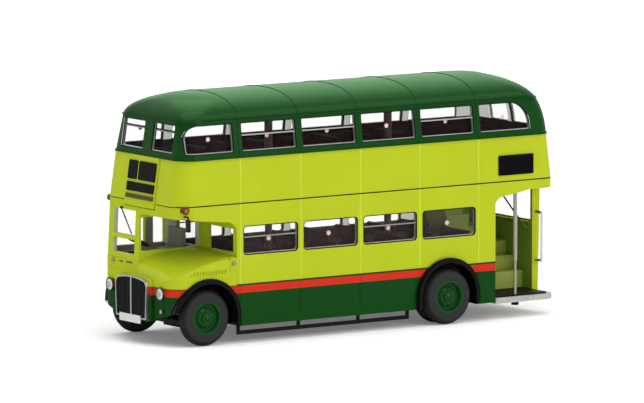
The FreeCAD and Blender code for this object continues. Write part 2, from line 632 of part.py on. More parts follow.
def doorway_tool():
    """The platform opening, wrapping from the nearside round to the end of the rear wall."""
    x0, x1 = float(doorway_x), float(tail_x - d.cut_overrun)
    y0, y1 = float(d.rear_wall_end_y), float(d.body_half_width + d.cut_overrun)
    low = float(d.skirt_level - d.cut_overrun)
    shoulder, crown, head = (float(s) for s in (
        d.doorway_shoulder_level, d.doorway_crown_level, d.doorway_head_level))
    bend = x0 - float(d.doorway_shoulder_length)
    level_x = bend - float(d.doorway_crown_length)
    turn = V(x0 - float(d.doorway_shoulder_length) * shoulder_turn_share, y0,
             shoulder + (crown - shoulder) * shoulder_rise_share)
    edges = [Part.LineSegment(V(x0, y0, low), V(x0, y0, shoulder)).toShape(),
             Part.Arc(V(x0, y0, shoulder), turn, V(bend, y0, crown)).toShape(),
             Part.LineSegment(V(bend, y0, crown), V(level_x, y0, head)).toShape(),
             Part.LineSegment(V(level_x, y0, head), V(x1, y0, head)).toShape(),
             Part.LineSegment(V(x1, y0, head), V(x1, y0, low)).toShape(),
             Part.LineSegment(V(x1, y0, low), V(x0, y0, low)).toShape()]
    return Part.Face(Part.Wire(edges)).extrude(Y_AXIS * (y1 - y0))


shoulder_turn_share = 0.35
shoulder_rise_share = 0.72


stair_front_x = doorway_x - d.stair_wall_gap
stair_rear_x = rear_wall_x + d.rear_wall_thickness + d.stair_wall_gap
stair_offside_y = -(inner_half_width - d.stair_wall_gap)


def canopy_room():
    """The open space over the bonnet, under the canopy's sloping edge and its rear gusset."""
    over = float(d.cut_overrun)
    x0, x1 = float(bulkhead_x - d.fit_gap), float(nose_x) + over
    y0, y1 = float(d.cab_wall_y), float(d.body_half_width) + over
    low, top = float(d.skirt_level) - over, float(d.canopy_level)
    bend, edge, foot = (x0 + float(d.gusset_length), top - float(d.canopy_rear_drop),
                        float(d.gusset_level))
    turn = V(x0 + (bend - x0) * gusset_turn_share, y0, edge - (edge - foot) * gusset_turn_share)
    edges = [Part.LineSegment(V(x0, y0, low), V(x0, y0, foot)).toShape(),
             Part.Arc(V(x0, y0, foot), turn, V(bend, y0, edge)).toShape(),
             Part.LineSegment(V(bend, y0, edge), V(x1, y0, top)).toShape(),
             Part.LineSegment(V(x1, y0, top), V(x1, y0, low)).toShape(),
             Part.LineSegment(V(x1, y0, low), V(x0, y0, low)).toShape()]
    return Part.Face(Part.Wire(edges)).extrude(Y_AXIS * (y1 - y0))


gusset_turn_share = 0.32


def make_lower_body():
    w, over = d.body_half_width, d.cut_overrun
    hollow = lower_solid(float(d.casting_wall), float(over))
    shell = lower_solid(0.0).cut(hollow)
    joint_top = d.deck_joint_level - d.cowl_drop
    room = block(tail_x, nose_x, -w, w, d.skirt_level, d.deck_joint_level)
    inside = lower_solid(float(d.casting_wall) - float(d.fit_gap))
    walls = [
        # rear wall, thicker than the sides, and the stub of bulkhead in front of the platform
        block(rear_wall_x, rear_wall_x + d.rear_wall_thickness, -w, d.rear_wall_end_y,
              d.platform_level, d.deck_joint_level),
        block(doorway_x, doorway_x + d.bulkhead_thickness, w - d.rear_bulkhead_depth, w,
              d.platform_level, d.deck_joint_level),
        # front bulkhead between the saloon and the cab and bonnet
        block(pillar_x, pillar_x + d.bulkhead_thickness, -w, w, d.saloon_floor_level,
              d.deck_joint_level),
        # the cab's nearside wall
        block(pillar_x, nose_x, d.cab_wall_y - d.cab_wall_thickness, d.cab_wall_y,
              d.cab_joint_level, d.deck_joint_level),
        # the plates under the deck over the bonnet and over the platform
        block(pillar_x, nose_x, d.cab_wall_y - d.cab_wall_thickness, w, d.canopy_level,
              d.canopy_level + d.canopy_plate_thickness),
        block(rear_wall_x, doorway_x + d.bulkhead_thickness, -w, w,
              d.doorway_head_level + d.fit_gap,
              d.doorway_head_level + d.fit_gap + d.canopy_rear_plate),
    ]
    shell = shell.fuse([wall.common(inside) for wall in walls])
    bonnet_room = canopy_room()
    nose_room = block(bulkhead_x - d.fit_gap, nose_x + over, -w - over, w + over,
                      d.skirt_level - over, d.cab_joint_level)
    stairwell = block(stair_rear_x - d.fit_gap, stair_front_x + d.fit_gap,
                      stair_offside_y - d.fit_gap,
                      stair_offside_y + d.stair_width + d.stairwell_side_gap,
                      d.doorway_head_level, d.deck_joint_level)
    tools = [bonnet_room, nose_room, doorway_tool(), stairwell]
    for axle_x in (front_axle_x, rear_axle_x):
        tools += [arch_tool(axle_x), arch_tool(axle_x, False)]
    tools += side_window_tools(d.lower_sill_level, lower_head, d.window_corner_radius)
    screen_radii = [d.windscreen_corner_radius] * 4
    bar_top = d.windscreen_bar_level + d.windscreen_bar_height
    glass_top = d.canopy_level
    for low, high in ((d.windscreen_sill_level, d.windscreen_bar_level), (bar_top, glass_top)):
        tools.append(rounded_prism("x", -d.windscreen_outer_y, -d.windscreen_inner_y, low, high,
                                   screen_radii, front_axle_x, nose_x))
    # the long window of the cab's nearside wall
    tools.append(rounded_prism("y", pillar_x + d.bulkhead_thickness + d.cab_window_rear_gap,
                               cab_front_x - d.cab_window_front_gap, d.cab_glass_sill_level,
                               d.cab_glass_top_level, screen_radii,
                               d.cab_wall_y - d.cab_wall_thickness - over,
                               d.cab_wall_y + over))
    # the bulkhead window behind the bonnet and the one behind the driver
    for y0, y1 in ((d.bulkhead_window_inner_y, d.bulkhead_window_outer_y),
                   (-d.driver_window_outer_y, -d.windscreen_inner_y)):
        tools.append(rounded_prism("x", y0, y1, d.bulkhead_window_sill_level,
                                   d.bulkhead_window_top_level, screen_radii, pillar_x - over,
                                   pillar_x + d.bulkhead_thickness + over))
    # the driver's side window and the window of the cab door, offside only
    door_end = pillar_x + d.window_margin + d.cab_door_window_length
    side_start = door_end + d.side_cab_post
    for start, end in ((pillar_x + d.window_margin, door_end),
                       (side_start, side_start + d.side_cab_window_length)):
        tools.append(rounded_prism("y", start, end, d.lower_sill_level, glass_top - d.fit_gap,
                                   screen_radii, -w - over, -w + d.casting_wall + over))
    # the window of the rear wall
    tools.append(rounded_prism("x", -d.rear_window_offside_y, d.rear_window_inner_y,
                               d.rear_window_sill_level, d.doorway_head_level,
                               [d.window_corner_radius] * 4, tail_x - over,
                               rear_wall_x + d.rear_wall_thickness + over))
    # room for the cowl that hangs from the upper casting
    tools.append(block(deck_front_x - d.deck_front_lean - d.casting_wall - d.fit_gap, nose_x,
                       -d.cowl_half_width - d.fit_gap,
                       d.cowl_half_width + d.fit_gap, joint_top - d.joint_gap,
                       d.deck_joint_level + over))
    beads = panel_beads(lower_solid(-float(d.panel_bead)), lower_solid(float(d.bead_root)),
                        d.skirt_flare_level, d.deck_joint_level - d.joint_gap)
    body = shell.fuse(beads).cut(tools)
    return node(shaped("lower_body", body), "lower_body_casting")


def bonnet_section(share):
    """The bonnet's cross-section at a share of its length from the bulkhead to the nose."""
    start, reach = float(bulkhead_x), float(wings_front_x - bulkhead_x + d.fit_gap)
    top, nose = float(d.bonnet_top_level), float(d.bonnet_nose_level)
    edge, edge_nose = float(d.bonnet_edge_level), float(d.bonnet_edge_nose_level)
    x = start + reach * share
    wall_z = nose + (top - nose) * dome_share(share, float(d.bonnet_power_share))
    edge_z = edge_nose + (edge - edge_nose) * dome_share(share,
                                                         float(d.bonnet_edge_power_share))
    y0, y1 = float(d.cab_wall_y + d.fit_gap), float(d.body_half_width + d.bonnet_edge_spread)
    r = float(d.bonnet_edge_radius)
    low = float(d.skirt_level) - float(d.cut_overrun)
    bend = r * (1 - math.sqrt(2) / 2)
    spots = [V(x, y0, low), V(x, y0, wall_z), V(x, y1 - r, edge_z), V(x, y1, edge_z - r),
             V(x, y1, low)]
    arc = Part.Arc(spots[2], V(x, y1 - bend, edge_z - bend), spots[3]).toShape()
    return Part.Wire([Part.LineSegment(spots[0], spots[1]).toShape(),
                      Part.LineSegment(spots[1], spots[2]).toShape(), arc,
                      Part.LineSegment(spots[3], spots[4]).toShape(),
                      Part.LineSegment(spots[4], spots[0]).toShape()])


def side_form(points, y0, y1):
    """A straight-sided outline in X and Z, pushed across from y0 to y1."""
    wire = Part.makePolygon([vec(x, y0, z) for x, z in points + points[:1]])
    return Part.Face(wire).extrude(Y_AXIS * (float(y1) - float(y0)))


def apron_cuts():
    """The raised corners of the apron, one each side of the radiator."""
    w, z0 = d.body_half_width + 2 * d.cut_overrun, d.skirt_level - d.cut_overrun
    x0 = wings_front_x - d.apron_reach
    wire = Part.makePolygon([vec(x0, 0, z0), vec(x0, w, z0), vec(x0, w, d.apron_corner_level),
                             vec(x0, d.apron_corner_y, d.apron_bottom_level),
                             vec(x0, 0, d.apron_bottom_level), vec(x0, 0, z0)])
    return both_sides(Part.Face(wire).extrude(X_AXIS * float(nose_x - x0)))


def bonnet_vents(w):
    """Upright slots in the bonnet's side panel."""
    pitch = d.bonnet_vent_length / d.bonnet_vent_count
    slots = []
    for i in range(int(float(d.bonnet_vent_count))):
        x = bulkhead_x + d.bonnet_vent_rear_gap + pitch * i
        slots.append(block(x, x + d.bonnet_vent_slot, w - d.bonnet_vent_depth,
                           w + d.cut_overrun, d.bonnet_vent_level,
                           d.bonnet_vent_level + d.bonnet_vent_height))
    return slots


def make_bonnet():
    """The bonnet, both wings and the nose, with the wheel openings and a hollow inside."""
    w = d.body_half_width - d.fit_gap
    rear, nose = bulkhead_x, wings_front_x
    wall, over = d.casting_wall, d.cut_overrun
    split = d.cab_wall_y + d.fit_gap
    base = Part.Face(plan_wire(nose, rear - 2 * d.wing_corner_radius, w, d.wing_corner_radius,
                               d.wing_corner_radius, d.skirt_level))
    whole = base.extrude(Z_AXIS * float(d.roof_top_level))
    form = Part.makeLoft([bonnet_section(share) for share in bonnet_station_shares], True, True)
    near_half = whole.common(form)
    far_half = whole.common(block(rear, nose_x, -w - over, split, 0,
                                  d.cab_joint_level - d.fit_gap))
    step = side_form([(cab_front_x, d.wing_top_level), (nose_x, d.wing_top_level
                      - d.wing_top_fall), (nose_x, d.roof_top_level),
                      (cab_front_x, d.roof_top_level)], -w - over, split)
    whole = near_half.fuse(far_half.cut(step))
    nose_shape = grille_face(float(nose - wall), d.nose_half_width, d.nose_half_width,
                             d.grille_shoulder_level + d.nose_crown_drop,
                             d.grille_crown_level + d.nose_crown_drop, d.nose_foot_level)
    panel = rounded_prism("y", rear, rear + d.end_panel_length, d.end_panel_foot_level,
                          d.bonnet_edge_level - d.end_panel_proud, [d.end_panel_proud] * 4,
                          w - wall, w + d.end_panel_proud)
    whole = whole.fuse([nose_shape.extrude(X_AXIS * float(wall + d.nose_depth)), panel])
    bay = block(rear + wall, nose - wall - wall, -w + wall, w - wall, 0, d.engine_bay_top_level)
    plate_way = block(rear - over, rear + wall + over, -w + wall, w - wall, 0,
                      d.base_level + d.base_thickness + d.fit_gap)
    cab_well = block(rear - over, nose_x, -w - over, d.cab_wall_y - d.cab_wall_thickness,
                     d.cab_floor_level - d.fit_gap, d.cab_joint_level + over)
    cab_well = cab_well.common(lower_solid(float(wall), 0.0))
    tools = [bay, plate_way, cab_well, arch_tool(front_axle_x), arch_tool(front_axle_x, False)]
    tools += apron_cuts() + bonnet_vents(w)
    return node(shaped("bonnet", whole.cut(tools)), "bonnet_and_wings_casting")


bonnet_station_shares = (0.0, 0.15, 0.3, 0.43, 0.55, 0.66, 0.75, 0.82, 0.88, 0.93, 0.965, 0.988, 1.0)


def wheel_centre(axle):
    return {"front": front_axle_x, "rear": rear_axle_x}[axle]


def wheel_face(axle):
    return {"front": d.front_wheel_face_y, "rear": d.rear_wheel_face_y}[axle]


def tyre_shape(face_y, side):
    """A lugged tyre about the world Y axis at x = z = 0. side is 1 for the nearside."""
    r, bead_r = float(d.tyre_radius), float(d.tyre_bead_radius)
    width, sh, crown = float(d.tyre_width), float(d.tyre_shoulder), float(d.tyre_crown)
    steps = [(bead_r, 0.0), (r - 2 * sh, 0.0), (r - crown, sh), (r, width / 2),
             (r - crown, width - sh), (r - 2 * sh, width), (bead_r, width)]
    spots = [V(radius, float(face_y) - side * y, 0) for radius, y in steps]
    side_wall = Part.Arc(spots[1], (spots[1] + spots[2]) * 0.5 + V(sh * bulge_share, side * sh
                         * bulge_share, 0), spots[2]).toShape()
    far_wall = Part.Arc(spots[4], (spots[4] + spots[5]) * 0.5 + V(sh * bulge_share, -side * sh
                        * bulge_share, 0), spots[5]).toShape()
    edges = [Part.LineSegment(spots[0], spots[1]).toShape(), side_wall,
             Part.Arc(spots[2], spots[3], spots[4]).toShape(), far_wall,
             Part.LineSegment(spots[5], spots[6]).toShape(),
             Part.LineSegment(spots[6], spots[0]).toShape()]
    return Part.Face(Part.Wire(edges)).revolve(V(0, 0, 0), Y_AXIS, 360)


bulge_share = 0.22


def make_tyre(label, axle, side, twin):
    face = float(wheel_face(axle)) * side
    tyres = [tyre_shape(face, side)]
    if twin:
        inner_face = face - side * float(d.tyre_width + d.twin_gap)
        tyres.append(tyre_shape(inner_face, side))
    shape = Part.makeCompound(tyres) if twin else tyres[0]
    obj = shaped(label, shape)
    place(obj, wheel_centre(axle), 0, d.tyre_radius)
    return node(obj, label)


def make_hub(label, axle, side, twin):
    """A painted wheel: rim, dished disc, stepped centre and a ring of studs."""
    rim_r = d.tyre_bead_radius - d.fit_gap
    width = d.tyre_width * 2 + d.twin_gap if twin else d.tyre_width
    dish = d.rear_dish_depth if twin else d.hub_dish_depth
    disc = d.hub_rim_width
    boss, step = d.hub_boss_radius, d.hub_step_radius
    bore = d.axle_radius
    depth = [0 * width, dish, dish - d.hub_rim_width, dish - d.hub_boss_length]
    profile = [(rim_r, depth[0]), (rim_r - disc, depth[0]), (step + disc, depth[1]),
               (step, depth[1]), (step - disc, depth[2]), (boss, depth[2]), (boss, depth[3]),
               (bore, depth[3]), (bore, width), (rim_r, width)]
    points = [(radius, -y * side) for radius, y in profile]
    body = revolved(label + "_turned", points, (0, 0, 0))
    studs = []
    count = int(float(d.hub_stud_count))
    for i in range(count):
        turn = math.radians(360 * i / count)
        circle = float(d.hub_stud_circle)
        spot = (circle * math.cos(turn), 0, circle * math.sin(turn))
        face = -side * float(depth[2])
        start = (spot[0], face - side * float(d.hub_stud_length), spot[2])
        end = (spot[0], face + side * float(d.hub_stud_length), spot[2])
        studs.append(shaped("{}_stud_{}".format(label, i), rod(start, end, d.hub_stud_radius)))
    whole = fuse(label, [body] + studs)
    place(whole, wheel_centre(axle), side * wheel_face(axle), d.tyre_radius)
    return node(whole, label)


def make_axle(label, axle):
    reach = wheel_face(axle) - d.axle_end_cover
    rod_obj = cylinder(label, d.axle_radius - d.fit_gap, 2 * reach,
                       (wheel_centre(axle), -reach, d.tyre_radius), "y")
    return node(rod_obj, label)


def guard_plan(proud):
    """The body's plan outline at the wheels, with the wings' corners, grown by a margin."""
    radius = d.wing_corner_radius + proud
    face = Part.Face(plan_wire(wings_front_x + proud, rear_wall_x - proud,
                               d.body_half_width + d.skirt_flare + proud, radius, radius,
                               d.guard_foot_level))
    return face.extrude(Z_AXIS * float(d.saloon_floor_level + d.guard_flange_width
                                       + d.cut_overrun))


def make_mudguard(label, axle, side):
    """A black lip round the wheel opening: a flange outside and a sleeve through the wall."""
    centre_x = wheel_centre(axle)
    outer_r = d.arch_radius + d.guard_flange_width
    sleeve_r = d.arch_radius - d.fit_gap
    bore_r = sleeve_r - d.guard_sleeve_thickness
    y0, reach = float(d.arch_keep_y), float(d.body_half_width)

    def arch(radius):
        drum = Part.makeCylinder(float(radius), reach, vec(centre_x, y0, arch_level), Y_AXIS)
        return drum.fuse(block(centre_x - radius, centre_x + radius, y0, y0 + reach,
                               -outer_r, arch_level))

    depth = {"front": d.front_guard_depth, "rear": d.rear_guard_depth}[axle]
    plan = guard_plan(d.fit_gap + depth)
    rounding = d.guard_flange_rounding
    lip = arch(outer_r - rounding).common(plan.cut(guard_plan(d.fit_gap)))
    root = guard_plan(d.fit_gap + depth - rounding)
    flange = arch(outer_r).common(root.cut(guard_plan(d.fit_gap))).fuse(lip)
    sleeve = arch(sleeve_r).common(plan.cut(guard_plan(-d.guard_sleeve_depth)))
    guard = flange.fuse(sleeve).cut(arch(bore_r))
    if axle == "front":
        guard = guard.cut(apron_cuts())
    if side < 0:
        guard = guard.mirror(V(0, 0, 0), Y_AXIS)
    return node(shaped(label, guard), label)


def upper_shell_between(outer_inset, inner_inset, low, high):
    """A thin shell that follows the upper casting's form between two insets and levels."""
    w = d.body_half_width + d.cut_overrun
    slab = block(tail_x - w, nose_x, -w, w, low, high)
    outer = upper_solid(float(outer_inset), float(outer_inset)).common(slab)
    if inner_inset is None:
        return outer
    return outer.cut(upper_solid(float(inner_inset), float(inner_inset)))


def lower_shell_between(outer_inset, inner_inset, low, high):
    """The same for the lower casting."""
    w = d.body_half_width + d.cut_overrun
    slab = block(tail_x - w, nose_x, -w, w, low, high)
    outer = lower_solid(float(outer_inset), float(d.cut_overrun)).common(slab)
    if inner_inset is None:
        return outer
    return outer.cut(lower_solid(float(inner_inset), float(d.cut_overrun)))


glass_outer = d.casting_wall + d.fit_gap
glass_inner = glass_outer + d.glass_thickness


def seat(x, y0, floor, cushion, back):
    """A double seat: a cushion and a round-topped back. x is the rear face of the back."""
    y1 = y0 + d.seat_width
    r = d.seat_back_radius
    back_front = x + d.seat_back_thickness
    rest = rounded_prism("y", x, back_front, floor - d.fit_gap, floor + back,
                         [d.fit_gap, d.fit_gap, r, r], y0, y1)
    squab = rounded_prism("y", back_front - d.fit_gap, back_front + d.cushion_length,
                          floor - d.fit_gap, floor + cushion,
                          [d.fit_gap, d.fit_gap, r, d.fit_gap], y0, y1)
    return [rest, squab]


def seat_rows(first_x, last_x, floor, cushion, back, wall_y, offside_last_x):
    """Seats both sides of the gangway, from the front one back."""
    near_y = wall_y - d.seat_side_gap - d.seat_width
    rows, x = [], first_x
    while float(x) > float(last_x):
        rows += seat(x, near_y, floor, cushion, back)
        if float(x) > float(offside_last_x):
            rows += seat(x, -near_y - d.seat_width, floor, cushion, back)
        x = x - d.seat_pitch
    return rows


def post_holes():
    """Clearance through both seat mouldings for the two fixing posts."""
    radius = float(d.post_top_radius + d.post_hole_gap)
    tools = []
    for setback in (d.front_post_setback, d.rear_post_setback):
        foot = vec(pillar_x - setback, 0, d.base_level)
        tools.append(Part.makeCylinder(radius, float(d.roof_top_level), foot, Z_AXIS))
    return tools


def tray_form(inset, low, high):
    """A solid that follows the upper casting's leaning walls below the belt."""
    return stack([upper_outline(low, float(inset)), upper_outline(high, float(inset))], True)


def make_upper_seats():
    """The upper deck's moulding: a floor with low walls round it, and the seats."""
    floor = d.deck_joint_level + d.upper_floor_gap
    top = floor + d.tray_floor_thickness
    inset, wall = d.casting_wall + d.tray_gap, d.lining_thickness
    tray = tray_form(inset, floor, d.belt_level - d.lining_top_gap)
    tray = tray.cut(tray_form(inset + wall, top, d.belt_level))
    first = nose_x - d.nose_to_deck_front - d.first_upper_seat_setback
    rows = seat_rows(first, tail_x + d.seat_pitch, top, d.upper_cushion_height,
                     d.upper_seat_back_height, inner_half_width - wall,
                     doorway_x + d.seat_pitch)
    well = block(rear_wall_x + inset + wall + d.fit_gap, stair_front_x + d.stairwell_side_gap,
                 -(inner_half_width - d.tray_gap - wall - d.fit_gap),
                 stair_offside_y + d.stair_width + d.stairwell_side_gap, d.deck_joint_level,
                 top + d.fit_gap)
    tray = tray.fuse(rows).cut([well] + post_holes())
    return node(shaped("upper_seats", tray), "upper_saloon_seats")


def make_lower_seats():
    front, rear = pillar_x - d.fit_gap, doorway_x + d.bulkhead_thickness + d.fit_gap
    half = inner_half_width - d.fit_gap
    g, t = d.gangway_half_width, d.tray_floor_thickness
    floor, low = d.saloon_floor_level + t, d.gangway_level
    section = [(-half, floor - t), (-g - t, floor - t), (-g - t, low), (g + t, low),
               (g + t, floor - t), (half, floor - t), (half, floor), (g, floor),
               (g, low + t), (-g, low + t), (-g, floor), (-half, floor)]
    wire = Part.makePolygon([vec(rear, y, z) for y, z in section + section[:1]])
    tray = Part.Face(wire).extrude(X_AXIS * float(front - rear))
    lining_top = d.lower_sill_level - d.glass_rise - d.lining_top_gap
    for side in (-1, 1):
        y0, y1 = sorted((float(half) * side, float(half - d.lining_thickness) * side))
        tray = tray.fuse(block(rear, front, y0, y1, floor - d.fit_gap, lining_top))
    first = pillar_x - d.first_lower_seat_setback - d.cushion_length
    rows = seat_rows(first, rear, floor, d.lower_cushion_height, d.lower_seat_back_height,
                     half - d.lining_thickness, rear)
    tray = tray.fuse(rows).cut(post_holes())
    return node(shaped("lower_seats", tray), "lower_saloon_seats")


def gate_pips(spans, middle_level, face_y):
    """The round moulding gates left at the middle of each side pane."""
    pips = []
    for rear, front in spans:
        middle = (rear + front) / 2
        start = (middle, face_y - d.glass_thickness / 2, middle_level)
        end = (middle, face_y + d.gate_pip_proud, middle_level)
        pips += both_sides(rod(start, end, d.gate_pip_radius))
    return pips


def make_upper_glazing():
    low, high = d.upper_sill_level - d.glass_rise, upper_head + d.glass_rise
    ring = upper_shell_between(glass_outer, glass_inner, low, high)
    middle = d.upper_sill_level + d.upper_window_height / 2
    face = upper_outline(float(middle), float(glass_outer))[2]
    front, rear = quarter_spans()
    spans = bay_spans() + [front, rear]
    ring = ring.fuse(gate_pips(spans, middle, Size(face, repr(face))))
    return node(shaped("upper_glass", ring), "upper_deck_glazing")


def make_lower_glazing():
    """One moulding for the saloon: both sides and the bulkhead windows in front."""
    low, high = d.lower_sill_level - d.glass_rise, lower_head + d.glass_rise
    face, t = inner_half_width - d.fit_gap, d.glass_thickness
    middle = d.lower_sill_level + d.lower_window_height / 2
    back = pillar_x - d.fit_gap
    side = block(doorway_x + d.bulkhead_thickness + d.fit_gap, back, face - t, face, low, high)
    end = block(back - t, back, -face, face, d.bulkhead_window_sill_level - d.glass_rise,
                d.bulkhead_window_top_level + d.glass_rise)
    whole = end.fuse(both_sides(side) + gate_pips(bay_spans(), middle, face))
    return node(shaped("lower_glass", whole), "lower_deck_glazing")


def make_rear_glazing():
    rear_x = rear_wall_x + d.rear_wall_thickness + d.fit_gap
    rear = block(rear_x, rear_x + d.glass_thickness, -d.rear_window_offside_y - d.glass_rise,
                 d.rear_window_inner_y + d.glass_rise, d.rear_window_sill_level - d.glass_rise,
                 d.doorway_head_level)
    return node(shaped("rear_glass", rear), "rear_window_glass")


def make_cab_glazing():
    """One moulding for the cab: windscreen, offside windows and the wall over the bonnet."""
    inner_y = d.cab_wall_y - d.cab_wall_thickness - d.fit_gap
    foot, head = d.windscreen_sill_level - d.glass_rise, d.canopy_level + d.glass_rise
    slab = block(bulkhead_x, nose_x, -d.body_half_width, inner_y, foot, head)
    cab = lower_shell_between(glass_outer, glass_inner, foot, head).common(slab)
    side = block(bulkhead_x, nose_x, inner_y - d.glass_thickness, inner_y,
                 d.cab_glass_sill_level - d.glass_rise, head)
    side = side.common(lower_solid(float(glass_outer), 0.0))
    return node(shaped("cab_glass", cab.fuse(side)), "cab_glazing")


def bearing(axle_x, outer_y):
    """Two upright bearing blocks on the base plate, one each side."""
    half = d.bearing_length / 2
    one = block(axle_x - half, axle_x + half, outer_y - d.bearing_thickness, outer_y,
                d.base_level, d.bearing_top_level)
    return both_sides(one)


def make_base_plate():
    half = inner_half_width - d.base_side_gap
    rear = doorway_x + d.bulkhead_thickness + d.base_side_gap
    front = front_axle_x + d.base_front_reach
    level, top = d.base_level, d.base_level + d.base_thickness
    plate = block(rear, front, -half, half, level, top)
    room = d.base_wheel_room
    solid_parts = []
    wheel_rooms = []
    front_spine = d.front_wheel_face_y - d.tyre_width - d.wheel_side_gap
    rear_spine = d.rear_wheel_face_y - 2 * d.tyre_width - d.twin_gap - d.wheel_side_gap
    for axle_x, spine in ((front_axle_x, front_spine), (rear_axle_x, rear_spine)):
        wheel_rooms += both_sides(block(axle_x - room, axle_x + room, spine, half + room,
                                        level - d.cut_overrun, top + d.cut_overrun))
        solid_parts += bearing(axle_x, spine)
    plate = plate.cut(wheel_rooms)
    recess = d.screw_head_height + 2 * d.fit_gap
    sump_front = front_axle_x - d.sump_front_gap + d.sump_length
    solid_parts.append(rounded_prism("z", sump_front - d.sump_length, sump_front,
                                     -d.sump_half_width, d.sump_half_width,
                                     [d.frame_rail_width] * 4, level - d.sump_depth, top))
    box_front = front_axle_x - d.gearbox_setback
    solid_parts.append(rounded_prism("z", box_front - d.gearbox_length, box_front,
                                     -d.gearbox_half_width, d.gearbox_half_width,
                                     [d.frame_rail_width] * 4, level - d.gearbox_depth, top))
    tank_front = box_front - d.gearbox_length - d.tank_setback
    solid_parts.append(rounded_prism("z", tank_front - d.tank_length, tank_front,
                                     d.tank_y - d.tank_half_width, d.tank_y + d.tank_half_width,
                                     [d.frame_rail_width] * 4, level - d.tank_depth, top))
    shaft_end = rear_axle_x + d.differential_radius
    solid_parts.append(rod((shaft_end, 0, level), (sump_front, 0, level), d.shaft_radius))
    pipe_front = sump_front - d.sump_length / 2
    solid_parts.append(rod((rear, d.exhaust_y, level), (pipe_front, d.exhaust_y, level),
                           d.exhaust_radius))
    silencer_front = box_front - d.silencer_setback
    solid_parts.append(rod((silencer_front - d.silencer_length, d.exhaust_y, level),
                           (silencer_front, d.exhaust_y, level), d.silencer_radius))
    ball = Part.makeSphere(float(d.differential_radius),
                           vec(rear_axle_x, 0, level + d.differential_radius / 2))
    ball = ball.common(block(rear, front, -half, half, 0, top))
    solid_parts.append(ball)
    for side in (-1, 1):
        y0, y1 = sorted((float(d.frame_rail_y) * side,
                         float(d.frame_rail_y + d.frame_rail_width) * side))
        solid_parts.append(block(rear, front, y0, y1, level - d.frame_rail_depth, top))
    plate = plate.fuse(solid_parts)
    bores = []
    for axle_x in (front_axle_x, rear_axle_x):
        bores.append(Part.makeCylinder(float(d.axle_radius - d.fit_gap + d.axle_running_gap),
                                       2 * float(half), vec(axle_x, -half, d.tyre_radius),
                                       Y_AXIS))
    for setback in (d.front_post_setback, d.rear_post_setback):
        foot = vec(pillar_x - setback, 0, 0)
        bores.append(Part.makeCylinder(float(d.post_foot_radius * screw_shank_share
                                             + d.post_hole_gap),
                                       float(d.bearing_top_level), foot, Z_AXIS))
        bores.append(Part.makeCylinder(float(d.screw_head_radius + d.post_hole_gap),
                                       float(level + recess), foot, Z_AXIS))
    bores.append(block(rear_axle_x - room, rear_axle_x + room, -d.shaft_radius,
                       d.shaft_radius, top, d.bearing_top_level))
    return node(shaped("base", plate.cut(bores)), "base_plate")


screw_shank_share = 0.6


def make_posts():
    wall = float(d.casting_wall)
    for name, setback in (("front", d.front_post_setback), ("rear", d.rear_post_setback)):
        x = pillar_x - setback
        foot = d.base_level + d.base_thickness + d.fit_gap
        post = doc.addObject("Part::Cone", "post_" + name)
        bind(post, "Radius1", d.post_foot_radius)
        bind(post, "Radius2", d.post_top_radius)
        bind(post, "Height", d.roof_top_level - d.casting_wall - d.casting_wall * post_head_share
             - foot)
        place(post, x, 0, foot)
        node(post, "fixing_post_" + name)
        head = cylinder("screw_head_" + name, d.screw_head_radius, d.screw_head_height,
                        (x, 0, d.base_level + d.fit_gap))
        shank = cylinder("screw_shank_" + name, d.post_foot_radius * screw_shank_share,
                         d.base_thickness - d.screw_head_height,
                         (x, 0, d.base_level + d.screw_head_height))
        slot = box("screw_slot_" + name,
                   (x - d.screw_head_radius, -d.screw_slot_width / 2,
                    d.base_level + d.fit_gap),
                   (2 * d.screw_head_radius, d.screw_slot_width, d.screw_slot_depth))
        node(cut("screw_" + name, fuse("screw_blank_" + name, [head, shank]), [slot]),
             "fixing_screw_" + name)
    return wall


post_head_share = 0.12


def grille_face(x, half_top, half_foot, shoulder, crown, foot):
    """The radiator's outline seen from the front: straight sides, rounded shoulders, bowed top."""
    a, b = float(half_foot), float(half_top)
    zf, zs, zc = float(foot), float(shoulder), float(crown)
    bend = float(d.grille_corner_radius)
    side = b * grille_side_share
    spots = [V(x, -a, zf), V(x, a, zf), V(x, b, zs - bend), V(x, side, zs + bend * bend_share),
             V(x, 0, zc), V(x, -side, zs + bend * bend_share), V(x, -b, zs - bend)]
    right = V(x, (b + side) / 2 + bend * bend_share / 2, zs - bend * bend_share / 2)
    left = V(x, -right.y, right.z)
    edges = [Part.LineSegment(spots[0], spots[1]).toShape(),
             Part.LineSegment(spots[1], spots[2]).toShape(),
             Part.Arc(spots[2], right, spots[3]).toShape(),
             Part.Arc(spots[3], spots[4], spots[5]).toShape(),
             Part.Arc(spots[5], left, spots[6]).toShape(),
             Part.LineSegment(spots[6], spots[0]).toShape()]
    return Part.Face(Part.Wire(edges))


grille_side_share = 0.86
bend_share = 0.45
nose_face_x = wings_front_x + d.nose_depth


